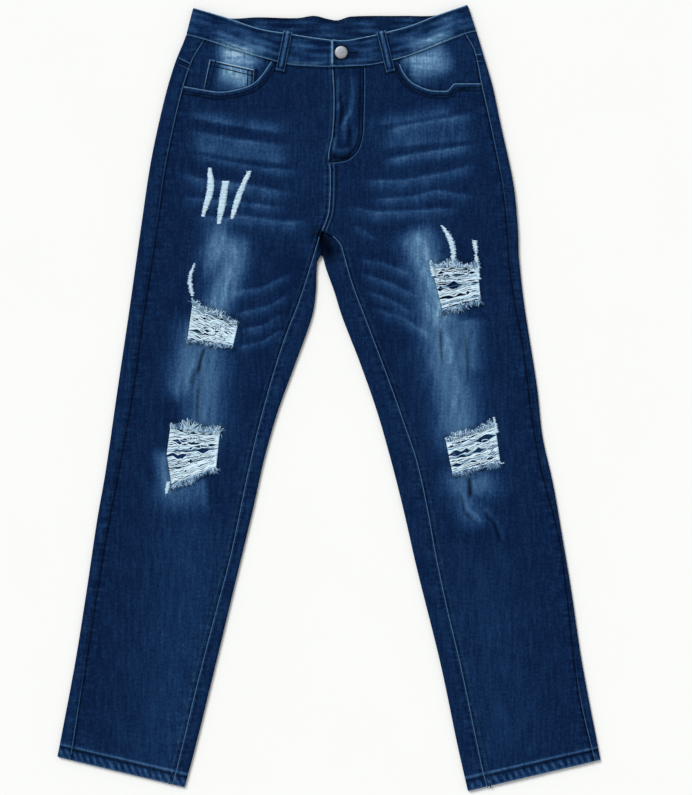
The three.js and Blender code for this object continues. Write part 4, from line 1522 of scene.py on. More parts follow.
@dataclass
class Waistband:
    """One folded strip round the waist, open at the front, its left end over its right end."""

    flat: Place = (0.044, 0.87)
    across: int = 19
    stations: list[tuple[float, ...]] = field(default_factory=list)

    def station(self, top_x: float, bottom_x: float, height: float, turn: float) -> None:
        """Adds a station: where the strip's two edges are, its height and the way it faces."""
        facing_up = math.cos(turn) > -0.1
        top = BAND_TOP_FRONT if facing_up else BAND_TOP_BACK
        bottom = WAIST_FRONT if facing_up else WAIST_BACK
        self.stations.append((top_x, bottom_x, float(top(top_x)), float(bottom(bottom_x)), height, turn))

    def front(self, start: float, side: Side, reverse: bool) -> None:
        """Adds the stations of one half of the front.

        Args:
            start: x at the centre.
            side: Which half.
            reverse: Whether they run towards the centre.
        """
        top, bottom = (corner - side.out * FOLD_RADIUS for corner in side.band_corner)
        line = []
        for t in np.linspace(0, 1, 74):
            bottom_x, top_x = mix(start, bottom, t), mix(start, top, t)
            lap = band_lap(bottom_x) if side is LEFT else 0.0
            line.append((top_x, bottom_x, RIM + float(lap), 0.0))
        for place in reversed(line) if reverse else line:
            self.station(*place)

    def corner(self, side: Side, turns: Array) -> None:
        """Adds the stations of a side fold."""
        top, bottom = side.band_corner
        for turn in turns:
            inset = side.out * FOLD_RADIUS * (1 - math.sin(turn))
            height = FOLD_RADIUS * (1 + math.cos(turn))
            self.station(top - inset, bottom - inset, height, side.out * turn)

    def points(self) -> Wall:
        """The strip's wall."""
        turns = np.linspace(0, math.pi, ARC_STEPS + 1)[1:-1]
        centre = float(CENTRE_FRONT(BAND_FOOT))
        self.front(centre, LEFT, False)
        self.corner(LEFT, turns)
        left, right = np.array(LEFT.band_corner) - FOLD_RADIUS, np.array(RIGHT.band_corner) + FOLD_RADIUS
        for t in np.linspace(0, 1, 90):
            self.station(*mix(left, right, t), 0.0, math.pi)
        self.corner(RIGHT, turns[::-1])
        self.front(centre - GAP, RIGHT, True)
        for t in np.linspace(0, 1, 9)[1:]:
            end = centre - GAP + t * (BAND_LAP + GAP)
            self.station(end, end, RIM, 0.0)
        top_x, bottom_x, top_y, bottom_y, height, turn = np.array(self.stations).T[..., None]
        t = np.linspace(0, 1, self.across)[None, :]
        t = t + 0.10 * np.sin(t * math.tau) * -0.5
        x, y = mix(bottom_x, top_x, t), mix(bottom_y, top_y, t)
        from_foot, from_top = t * (top_y - bottom_y), (1 - t) * (top_y - bottom_y)
        base = float(under(BAND_MIDDLE))
        rolled = 0.8 * bell(from_foot, 1.1) + 0.8 * bell(from_top, 1.1)
        wave = 0.22 * np.sin(x * math.tau / 11 + 2 * wander(x, y, 60, 7))
        wave = wave * (bell(from_foot - 4, 4) + bell(from_top - 4, 4))
        swell = np.where(np.cos(turn) > 0.5, 0.25 * wander(x, y, 70, 12) + wave, 0.0) - rolled

        def skin(depth: Level) -> Array:
            """Points that deep inside the strip."""
            return stacked(x - np.sin(turn) * depth, y, base + height - np.cos(turn) * depth)

        return Wall(skin(-swell), skin(DOUBLE), self.marks(x, y, from_foot, from_top, turn))

    def marks(
        self, x: Array, y: Array, from_foot: Array, from_top: Array, turn: Array
    ) -> dict[str, Array]:
        """Wear and painted shade of the strip.

        Args:
            x: Across.
            y: Up the garment.
            from_foot: Distance from the strip's foot.
            from_top: Distance from its top edge.
            turn: The way it faces.

        Returns:
            The marks by name.
        """
        front = (np.cos(turn) > -0.1).astype(float)
        fallen = y - WAIST_FRONT(x) * front
        streaks = 1 + 0.22 * wander(x * 0.08, fallen, 6.5, 14)
        wear = 0.06 + front * marked(BAND_WEAR, x, y) * streaks
        wear = wear + 0.07 + 0.15 * wander(x * 0.12, fallen, 7, 18)
        foot = (0.22 + 0.30 * hip_glow(x)) * bell(from_foot, 1.1)
        wear = wear + front * (0.36 * bell(from_top, 1.0) + foot)
        end = np.abs(x - CENTRE_FRONT(BAND_FOOT)) + 100 * (1 - front)
        wear = wear + 0.42 * bell(end - 0.6, 1.5)
        # Painted shade: along the rows of stitches, beside the fly end, inside the back, round the button
        # and its hole, and beside the belt loops.
        shade = 0.40 * bell(from_top - 3.6, 1.2) + 0.40 * bell(from_foot - 3.4, 1.1)
        shade = shade + 0.6 * bell(end - 4.4, 1.2)
        shade = shade + (1 - front) * (0.8 * bell(from_top, 1.6) + 0.15)
        ring = np.hypot(x - BUTTON_AT[0], y - BUTTON_AT[1]) - BUTTON_RADIUS
        aside = LOOP_WIDTH / 2 + 0.9
        loops = [
            traced(np.array(line) + (way * aside, 0.0), 1.6, 0.7)
            for line in LOOP_LINES
            for way in (-1, 1)
        ]
        around = marked((BUTTONHOLE_SHADE, *loops), x, y)
        shade = shade + front * (0.95 * bell(ring - 0.8, 1.6) + around)
        tuck = 0.30 + 0.5 * bell(from_foot, 6) + 0.25 * bell(from_top, 6)
        return marks_of(wear, np.clip(shade, 0, 1), 0.40, tuck)

    def build(self, wardrobe: Wardrobe) -> bpy.types.Object:
        rests = ["yoke_right_cloth", "yoke_left_cloth"]
        return self.points().sheet("waistband", wardrobe.crosswise, Slot.DENIM, self.flat, rests, "folded")


FACING_WEAR_AND_SHADOW = {
    "right": strokes(
        (((-152, 459), (-126, 451), (-74, 435)), 13.0, 0.80, (0.25, 0.55)),
        (((-148, 432), (-124, 423), (-94, 411)), 16.0, 0.74, (0.25, 0.35)),
        # Painted shadow beside the coin pocket's right edge.
        (((-95, 432), (-97, 412)), 2.4, -0.45, (0.1, 0.1)),
    ),
    "left": strokes(
        (((80, 438), (122, 447), (160, 460)), 12.0, 0.52, (0.40, 0.3)),
        (((102, 424), (134, 433), (170, 444)), 14.0, 0.52, (0.2, 0.35)),
    ),
}


@dataclass
class PocketFacing:
    """The cloth that shows inside a front pocket's mouth."""

    side: Side
    mouth: Key
    end: float  # x where it ends towards the centre
    flat: Place

    def height(self, x: Array, y: Array) -> Array:
        """Height of its upper side."""
        low = np.minimum(self.mouth(x), WAIST_FRONT(x) - WAIST_GAP - 2.5)
        drop = FACING_DROP * (1 - smooth(y - low, 3, 26))
        return under(y) + RIM - drop

    def points(self, u: Array, share: Array) -> Array:
        """Points of its upper side.

        Args:
            u: From the outseam, 0, to its end, 1.
            share: From below the mouth, -1, through the mouth, 0, to the waist seam, 1.

        Returns:
            The points.
        """
        u, share = np.broadcast_arrays(u, share)
        y = np.full(u.shape, HIP + 30)
        x = np.zeros(u.shape)
        for _ in range(12):
            x = mix(self.side.outseam(y) - self.side.out * 2 * GAP, self.end, u)
            seam = WAIST_FRONT(x) - WAIST_GAP
            low = np.minimum(self.mouth(x), seam - 2.5)
            y = np.where(share < 0, low + 22 * share, mix(low, seam, np.maximum(share, 0)))
        return stacked(x, y, self.height(x, y))

    def build(self, wardrobe: Wardrobe) -> bpy.types.Object:
        u = np.linspace(0, 1, 64)[None, :]
        share = np.concatenate([np.linspace(-1, 0, 8)[:-1], np.linspace(0, 1, 30)])[:, None]
        top = self.points(u, share)
        x, y = top[..., 0], top[..., 1]
        creased = 0.25 * wander(x, y, 26, 15) * smooth(y - self.mouth(x), 4, 14)
        top[..., 2] += np.minimum(creased, 0.3)
        from_seam = WAIST_FRONT(x) - y
        streaks = 1 + 0.13 * wander(x * 0.15, y, 7, 16)
        wear = 0.07 + marked(FACING_WEAR_AND_SHADOW[self.side.name], x, y) * streaks
        # Painted shade under the pocket mouth's edge, below the waist seam and beside the outseam.
        shade = 0.70 * bell(y - self.mouth(x), 1.9) + 0.85 * bell(from_seam - 1.4, 1.6)
        shade = shade + 0.7 * bell(np.abs(x - self.side.outseam(y)) - 0.6, 1.4)
        tuck = 0.15 + 0.5 * bell(from_seam, 8)
        wall = Wall(top, top - (0, 0, LINING), marks_of(wear, shade, 0.25, tuck))
        rests = [f"back_{self.side.name}_cloth"]
        return wall.sheet(f"pocket_facing_{self.side.name}", wardrobe.faded, Slot.FADED, self.flat, rests)


@dataclass
class CoinPocket:
    """The small pocket on the right facing, tucked under the pocket mouth.

    Attributes:
        facing: The facing that it lies on.
        corners: Its four corners: top outer, top inner, bottom inner, bottom outer.
        flat: Width and length of the cut, in metres.
    """

    facing: PocketFacing
    corners: tuple[Place, ...] = ((-156, 443), (-98, 430), (-99, 396), (-166, 396))
    flat: Place = (0.070, 0.062)

    def height(self, x: Array, y: Array) -> Array:
        """Height of its upper side."""
        return self.facing.height(x, y) + COIN_LIFT + LINING

    def build(self, wardrobe: Wardrobe) -> bpy.types.Object:
        (ax, ay), (bx, by), (cx, cy), (dx, dy) = self.corners
        u = np.linspace(0, 1, 40)[None, :]
        v = np.linspace(0, 1, 34)[:, None]
        x = mix(mix(ax, bx, u), mix(dx, cx, u), v)
        y = mix(mix(ay, by, u), mix(dy, cy, u), v)
        width, length = abs(bx - ax), abs(ay - dy)
        from_side = np.minimum(u, 1 - u) * width + 0 * v
        from_top = v * length + 0 * u
        edge = np.minimum(from_side, from_top)
        puff = 0.25 * smooth(edge, 0, 10) - 0.5 * bell(edge, 0.9)
        outer = stacked(x, y, self.height(x, y) + puff)
        wear = 0.09 + marked(FACING_WEAR_AND_SHADOW["right"], x, y) + 0.72 * bell(edge, 1.1)
        # Painted shade along the row of stitches near its edges and under the pocket mouth's edge.
        shade = 0.50 * bell(edge - 2.6, 1.0) + 0.6 * bell(y - self.facing.mouth(x), 1.9)
        wall = Wall(outer, outer - (0, 0, LINING), marks_of(wear, shade, 0.15, 0.15))
        rests = ["pocket_facing_right_cloth"]
        return wall.sheet("coin_pocket", wardrobe.faded, Slot.FADED, self.flat, rests)


@dataclass
class BeltLoop:
    """A belt loop: a strip folded and stitched flat, from a start down to an end."""

    node: str
    start: Place
    end: Place
    behind: bool = False

    def build(self, wardrobe: Wardrobe) -> bpy.types.Object:
        length = math.dist(self.start, self.end)
        along = (np.array(self.end) - self.start) / length
        sideways = np.array([-along[1], along[0]])
        half = np.concatenate([np.linspace(0, 0.3, 5), np.linspace(0.3, 0.5, 6)[1:]])
        s = np.concatenate([-half[:0:-1], half])
        t = np.linspace(0, 1, 34)
        place = np.array(self.start) + t[:, None, None] * length * along
        place = place + s[None, :, None] * LOOP_WIDTH * sideways
        x, y = place[..., 0], place[..., 1]
        from_side = (0.5 - np.abs(s))[None, :] * LOOP_WIDTH + 0 * x
        from_end = np.minimum(t, 1 - t)[:, None] * length + 0 * x
        profile = 0.25 * bell(from_side - 5.7, 2.4) - 0.4 * bell(from_side - 2.3, 0.8)
        profile = profile - 0.6 * bell(from_side, 0.7)
        folded = 0.5 * bell(from_end - 3.0, 2.0) - 0.7 * bell(from_end, 0.9)
        front = not self.behind
        base = under(y) + RIM + GAP if front else np.zeros(x.shape)
        top = stacked(x, y, base + LOOP + (profile + folded if front else 0.0))
        low = stacked(x, y, base - (0.0 if front else np.minimum(profile + folded, 0.0)))
        foot = ((1 - t)[:, None] * length + 0 * x) * (1 if front else 9)
        wear = 0.08 + 0.32 * bell(from_side - 5.7, 2.0) * smooth(foot, 3, 9)
        wear = wear + 0.36 * bell(from_side - 0.3, 0.8) + 0.26 * bell(from_end - 1.0, 1.4)
        # Painted shade along the stitched lines and across the folded foot.
        shade = 0.85 * bell(from_side - 2.2, 0.9) * smooth(foot, 2, 5) + 0.60 * bell(foot - 4.6, 1.1)
        wall = Wall(top, low, marks_of(wear, shade, 0.3, 0.3))
        piece = dress(wall.build(f"{self.node}_cloth"), wardrobe.denim, Slot.DENIM, self.node)
        return piece


@dataclass
class BackPocket:
    """A plain five-sided patch under the seat.

    Attributes:
        side: Which side.
        middle: Its middle, from the centre line and up.
        outline: Its corners from there: top outer, top inner, bottom inner, point, bottom outer.
        flat: Width and length of the cut, in metres.
    """

    side: Side
    middle: Place = (122, 312)
    outline: tuple[Place, ...] = ((-76, 72), (72, 66), (70, -46), (-2, -76), (-74, -42))
    flat: Place = (0.172, 0.185)

    def build(self, wardrobe: Wardrobe) -> bpy.types.Object:
        (ax, ay), (bx, by), (cx, cy), (px, py), (dx, dy) = self.outline
        u = np.linspace(0, 1, 56)[None, :]
        v = np.linspace(0, 1, 56)[:, None]
        foot_u = (px - dx) / (cx - dx)
        foot_x = mix(dx, cx, u)
        foot_y = np.where(u < foot_u, mix(dy, py, u / foot_u), mix(py, cy, (u - foot_u) / (1 - foot_u)))
        x = mix(mix(ax, bx, u), foot_x, v)
        y = mix(mix(ay, by, u), foot_y, v)
        width, length = bx - ax, ay - dy
        edge = np.minimum(np.minimum(u, 1 - u) * width, (1 - v) * length)
        from_top = v * length + 0 * u
        raised = np.maximum(0.5 * bell(edge, 1.0), 0.4 * bell(from_top, 1.0))
        across, up = self.side.out * (self.middle[0] - x), self.middle[1] + y
        top, low = stacked(across, up, DENIM), stacked(across, up, raised)
        wear = 0.10 + 0.35 * bell(edge, 1.2) + 0.3 * bell(from_top, 1.4) + 0.2 * bell(from_top - 24, 1.2)
        # Painted shade along its rows of stitches.
        shade = 0.5 * bell(edge - 2.6, 1.0) + 0.4 * bell(edge - 8.6, 1.0) + 0.4 * bell(from_top - 21, 1.2)
        pucker = 0.2 + 0.6 * bell(edge, 7)
        wall = Wall(low, top, marks_of(wear, shade, pucker, pucker))
        return wall.sheet(f"back_pocket_{self.side.name}", wardrobe.denim, Slot.DENIM, self.flat, [])


# ---------- Rips ----------
@dataclass(frozen=True)
class Parting:
    """A place where the bare threads part: its middle, half its length and height, and its slope."""

    x: float
    y: float
    length: float
    height: float
    slope: float = 0.0


def parted(*rows: tuple[float, ...]) -> tuple[Parting, ...]:
    """Partings, each from a row of its values."""
    return tuple(Parting(*row) for row in rows)


@dataclass
class Rip:
    """A hole worn in a front, crossed by its bare threads, with frayed edges.

    Attributes:
        name: Its place.
        side: Which side.
        outer: Its edge at viewer's left, from the top down.
        inner: Its edge at viewer's right, from the top down.
        partings: Where its threads part.
        threads: How many threads cross it.
        seed: Which random draws it uses.
        fringe: Depth of the fraying above and below.
    """

    name: str
    side: Side
    outer: tuple[Place, ...]
    inner: tuple[Place, ...]
    partings: tuple[Parting, ...]
    threads: int
    seed: int
    fringe: Place = (9.0, 9.0)

    def hole(self) -> Array:
        """The hole's outline as points."""
        return np.array((self.outer[0], *self.inner, *self.outer[:0:-1]), float)

    @staticmethod
    def along(places: tuple[Place, ...], t: Level) -> Array:
        """The point t of the way along a line of places."""
        line = np.array(places, float)
        return points_at(line, np.asarray(t) * lengths(line)[-1])

    def pushed(self, x: Array, y: Array) -> Array:
        """The line of a thread once the partings have pushed it up or down."""
        for part in self.partings:
            across = (x - part.x) / (part.length * 1.25)
            way = 1.0 if np.interp(part.x, x, y) >= part.y else -1.0
            off = (y - part.y - part.slope * (x - part.x)) * way
            lack = (1.50 * part.height + 0.50) * bell(across, 0.8) - off
            y = y + way * 0.6 * np.logaddexp(0, lack / 0.6) * bell(across, 1.15)
        return y

    def height(self, x: Array, y: Array) -> Array:
        """Height of the cloth round the hole."""
        return front_top(self.side, x, y)

    def edge(self, top: bool) -> tuple[Array, Array, Array]:
        """Start and end of the top or bottom edge, and the way out of the hole from it."""
        which = 0.0 if top else 1.0
        start, end = self.along(self.outer, which), self.along(self.inner, which)
        away = np.array([start[1] - end[1], end[0] - start[0]]) / np.linalg.norm(end - start)
        return start, end, away if (away[1] > 0) == top else -away

    def under_fringe(self, x: Array, y: Array) -> Array:
        """Shade of the panel under the frayed edges."""
        shade = np.zeros(x.shape)
        for top, depth in zip((True, False), self.fringe):
            start, end, away = self.edge(top)
            line = np.array([start, end]) + away * depth * 0.3
            strong = traced(line, depth * 0.42, 0.80).at(x, y)
            shade = shade + strong * (0.65 + 0.5 * wander(x, y, 7, self.seed))
        return shade

    def build(self, wardrobe: Wardrobe) -> None:
        """Builds and dresses the threads and the frayed edges."""
        draw = np.random.default_rng(self.seed)
        bundle = Bundle()
        self.weft(bundle, draw)
        self.curls(bundle, draw)
        node = f"rip_threads_{self.name}"
        dress(bundle.build(f"{node}_weft"), wardrobe.thread, Slot.THREAD, node)
        fray = Bundle()
        for top, depth in zip((True, False), self.fringe):
            self.fray(fray, draw, top, depth)
        dress(fray.build(f"{node}_fray"), wardrobe.thread, Slot.THREAD)

    def weft(self, bundle: Bundle, draw: np.random.Generator) -> None:
        """Adds the threads that cross the hole.

        Args:
            bundle: Where they go.
            draw: Random draws.
        """
        s = np.linspace(0, 1, 34)
        for i in range(self.threads):
            clump = 0.35 * math.sin(i * 2.1) + 0.25 * math.sin(i * 0.9 + 1)
            t = np.clip((i + 0.5 + clump) / self.threads, 0.005, 0.995)
            start, end = self.along(self.outer, t), self.along(self.inner, t)
            held = smooth(s, 0, 0.10) * smooth(1 - s, 0, 0.10)
            x = mix(start[0], end[0], s)
            y = mix(start[1], end[1], s) + draw.normal(0, 0.6) * np.sin(math.pi * s)
            y = y + held * 1.15 * wander(x, y * 2.2, 14, self.seed)
            swing = s * math.tau * draw.uniform(1.5, 4.5) + draw.uniform(0, 7)
            y = y + held * draw.uniform(0.1, 0.6) * np.sin(swing)
            y = self.pushed(x, y)
            z = self.height(x, y) - 0.75 - held * draw.uniform(0.0, 0.9)
            z = z + held * 0.4 * np.sin(s * math.tau * draw.uniform(2, 5) + draw.uniform(0, 7))
            thick = draw.uniform(0.44, 0.78)
            pale = draw.uniform(0.88, 1.08) - 0.35 * (draw.uniform() < 0.12)
            bundle.tube(stacked(x, y, z), thick, thick * 0.8, pale, 6)
        for _ in range(self.threads // 4):
            t = draw.uniform(0.03, 0.97)
            start = self.along(self.outer, t)
            end = self.along(self.inner, np.clip(t + draw.normal(0, 0.06), 0.02, 0.98))
            x = mix(start[0], end[0], s)
            y = mix(start[1], end[1], s) + draw.normal(0, 1.2) * np.sin(math.pi * s)
            z = self.height(x, y) - 1.9 - 0.8 * np.sin(math.pi * s)
            bundle.tube(stacked(x, y, z), 0.45, 0.35, draw.uniform(0.30, 0.5), 5)

    def curls(self, bundle: Bundle, draw: np.random.Generator) -> None:
        """Adds broken threads that curl over the others, each with a darker thread under it as painted
        shadow.

        Args:
            bundle: Where they go.
            draw: Random draws.
        """
        for _ in range(self.threads // 3):
            across, down = draw.uniform(0.10, 0.90), draw.uniform(0.06, 0.92)
            middle = mix(self.along(self.outer, down), self.along(self.inner, down), across)
            turn = np.linspace(0, draw.uniform(1.5, 5.0), 12) + draw.uniform(0, 7)
            wide, high = draw.uniform(1.8, 5.5), draw.uniform(1.2, 3.4)
            x = middle[0] + wide * np.cos(turn)
            y = middle[1] + high * np.sin(turn)
            shadow = stacked(x + 0.6, y - 0.7, self.height(x, y) - 0.35)
            bundle.tube(shadow, 0.40, 0.2, 0.30, 5)
            z = self.height(x, y) - 0.15 + 0.5 * np.sin(np.linspace(0, math.pi, 12))
            bundle.tube(stacked(x, y, z), 0.42, 0.36, draw.uniform(0.88, 1.05), 6)

    def fray(self, bundle: Bundle, draw: np.random.Generator, top: bool, depth: float) -> None:
        """Adds the frayed warp along the hole's top or bottom edge.

        Args:
            bundle: Where it goes.
            draw: Random draws.
            top: Whether it is the top edge.
            depth: How far it reaches.
        """
        start, end, away = self.edge(top)
        length = float(np.linalg.norm(end - start))
        sideways = (end - start) / length
        s = np.linspace(0, 1, 8)
        for i in range(int(length * 4.2)):
            at = draw.uniform(0.0, 1.0)
            swell = 0.72 + 0.28 * math.sin(at * math.tau * 1.6 + self.seed)
            root = mix(start, end, at) - away * draw.uniform(0.0, 2.2)
            reach = depth * swell * draw.uniform(0.40, 1.05)
            turn = draw.normal(0, 0.35) + draw.normal(0, 1.3) * s
            out = np.concatenate([[0], np.cumsum(np.cos(turn[1:]))]) * reach / 7
            side = np.concatenate([[0], np.cumsum(np.sin(turn[1:]))]) * reach / 7
            x = root[0] + away[0] * out + sideways[0] * side
            y = root[1] + away[1] * out + sideways[1] * side
            z = self.height(x, y) + 0.3 + draw.uniform(0.0, 1.2) * np.sin(math.pi * np.minimum(s * 1.1, 1))
            thick = draw.uniform(0.26, 0.50)
            # Some strands, and the whole lower fringe, are painted darker as shadow.
            shadow = (draw.uniform() < 0.35) * 0.40 + (0.0 if top else 0.14)
            pale = draw.uniform(0.38, 0.92) - shadow + 0.16 * (1 - s)
            bundle.tube(stacked(x, y, z), thick, thick * 0.8, pale, 5)


RIPS = (
    Rip(
        "right_thigh",
        RIGHT,
        ((-179, 124), (-186, 76)),
        ((-119, 97), (-126, 67)),
        parted(
            (-144, 105, 6.5, 1.5, -0.5), (-173, 103, 1.0, 1.6),
            (-163, 104, 2.4, 1.1), (-171, 86, 6.5, 2.2, -0.6),
            (-160, 88, 2.4, 2.0), (-147, 87, 3.4, 1.0), (-141, 80, 2.6, 1.2),
            (-133, 90, 2.6, 0.7), (-164, 92, 3.0, 0.9), (-135, 86, 2.6, 0.6),
            (-157, 114, 8.0, 0.6, -0.4), (-161, 84, 2.6, 0.9, -0.6),
        ),
        threads=50,
        seed=21,
        fringe=(11.0, 9.0),
    ),
    Rip(
        "left_thigh",
        LEFT,
        ((134, 173), (149, 114)),
        ((195, 172), (199, 128)),
        parted(
            (147, 164, 3.4, 1.7), (155, 160, 4.0, 1.6), (167, 161, 6.5, 1.4),
            (180, 167, 6.0, 2.6), (187, 164, 4.0, 1.3), (163, 147, 8.0, 4.2),
            (139, 159, 1.6, 1.5), (146, 143, 3.4, 2.4, 0.3), (151, 149, 5.0, 0.7),
            (182, 138, 2.0, 2.0), (157, 132, 8.0, 1.6), (149, 131, 4.0, 0.9),
            (174, 136, 2.6, 0.7, -0.5), (191, 151, 4.0, 0.6),
        ),
        threads=54,
        seed=22,
        fringe=(13.0, 12.0),
    ),
    Rip(
        "right_knee",
        RIGHT,
        ((-208, -38), (-213, -73), (-206, -117)),
        ((-143, -47), (-148, -92)),
        parted(
            (-197, -58, 4.5, 2.3, -0.8), (-189, -61, 4.0, 0.9, -0.2),
            (-189, -54, 2.0, 1.2, -0.3), (-194, -43, 5.0, 1.1, -0.3),
            (-178, -46, 4.0, 1.2), (-166, -47, 1.3, 0.9), (-179, -60, 4.0, 1.0, 0.4),
            (-168, -64, 9.0, 1.4), (-181, -66, 2.6, 1.2, 0.3),
            (-165, -69, 6.5, 2.6), (-154, -62, 5.2, 1.1),
            (-201, -76, 6.5, 1.9, -0.75), (-181, -83, 2.0, 2.0),
            (-209, -91, 1.4, 0.7, -0.3), (-200, -92, 6.0, 0.7, -0.2),
            (-188, -96, 1.6, 1.1), (-192, -78, 1.4, 1.4, -0.6),
        ),
        threads=66,
        seed=23,
        fringe=(17.0, 10.0),
    ),
    Rip(
        "left_knee",
        LEFT,
        ((153, -56), (162, -100)),
        ((218, -35), (225, -85)),
        parted(
            (167, -73, 8.0, 3.1), (176, -76, 5.2, 1.2, -0.1),
            (181, -69, 4.0, 2.2, -0.2), (197, -68, 4.0, 2.3, -0.3),
            (161, -63, 2.6, 1.2), (212, -79, 5.2, 1.3, 0.1), (190, -83, 5.2, 0.9),
            (168, -88, 6.5, 1.7), (199, -86, 5.2, 0.7), (163, -83, 1.6, 0.7),
            (173, -58, 12.0, 1.0, 0.25), (205, -53, 12.0, 3.4, 0.32),
        ),
        threads=52,
        seed=24,
        fringe=(11.0, 9.0),
    ),
)


@dataclass
class Slash:
    """A narrow worn line of bare weft on a front.

    Attributes:
        side: Which side.
        places: Its line, from the top down.
        widths: Its width at each of eight even steps down.
        ragged: How ragged its sides are.
    """

    side: Side
    places: tuple[Place, ...]
    widths: tuple[float, ...]
    ragged: float = 0.35

    def add_to(self, bundle: Bundle, draw: np.random.Generator) -> None:
        """Adds its short threads, with a few strands along its sides.

        Args:
            bundle: Where they go.
            draw: Random draws.
        """
        line = line_through(self.places, 0.55)
        t = np.linspace(0, 1, len(line))
        widths = np.interp(t, np.linspace(0, 1, len(self.widths)), self.widths)
        s = np.linspace(-1, 1, 5)
        for (x0, y0), width in zip(line, widths):
            left, right = (width / 2 + draw.normal(0, self.ragged) for _ in range(2))
            x = x0 + np.where(s < 0, left, right) * s
            y = y0 + draw.normal(0, 0.15) + draw.normal(0, 0.2) * s
            z = front_top(self.side, x, y) + 0.05 + 0.35 * np.sqrt(1 - 0.9 * s * s)
            bundle.tube(stacked(x, y, z), 0.42, 0.3, draw.uniform(0.80, 0.99), 5)
        for _ in range(int(len(line) * 0.5)):
            i = draw.integers(0, len(line))
            x0 = line[i, 0] + draw.choice((-0.5, 0.5)) * widths[i] * draw.uniform(0.8, 1.1)
            s = np.linspace(0, 1, 5)
            x = x0 + draw.normal(0, 0.8) * s
            y = line[i, 1] + draw.normal(0, 1.8) * s
            z = front_top(self.side, x, y) + 0.35
            bundle.tube(stacked(x, y, z), 0.26, 0.24, draw.uniform(0.45, 0.85), 5)


THIGH_SLASHES = (4.0, 6.5, 8.0, 8.5, 8.5, 8.0, 7.0, 5.5, 3.5)
SLASHES = (
    Slash(RIGHT, ((-156, 301), (-155, 274), (-165, 238)), THIGH_SLASHES),
    Slash(RIGHT, ((-135, 284), (-139, 258), (-144, 228)), (9.5, 8.5, 9.0, 9.0, 8.5, 8.0, 6.0, 4.5)),
    Slash(RIGHT, ((-104, 297), (-117, 267), (-127, 235)), (4.5, 6.0, 6.5, 7.5, 8.0, 7.5, 6.0, 3.0)),
    Slash(RIGHT, ((-176, 176), (-182, 156), (-179, 134)), (1.5, 3.0, 4.0, 4.5, 4.5, 3.5), 0.8),
    Slash(LEFT, ((148, 226), (158, 210), (163, 190), (161, 172)), (2.0, 5.0, 6.5, 6.5, 6.0, 5.0, 4.0), 0.7),
    Slash(LEFT, ((191, 206), (193, 186), (196, 156)), (6.0, 4.5, 2.5, 3.5, 5.0, 3.0, 5.0), 0.9),
    Slash(LEFT, ((216, -25), (220, -45)), (1.5, 3.0, 5.0), 0.5),
    Slash(LEFT, ((133, 180), (137, 160)), (2.0, 4.0, 4.5), 0.6),
    Slash(RIGHT, ((-210, -110), (-213, -125)), (5.0, 4.5, 2.5), 0.6),
)


def build_slashes(wardrobe: Wardrobe) -> None:
    """Builds and dresses the worn lines of bare weft."""
    draw = np.random.default_rng(31)
    bundle = Bundle()
    for slash in SLASHES:
        slash.add_to(bundle, draw)
    dress(bundle.build("slash_weft"), wardrobe.thread, Slot.THREAD)


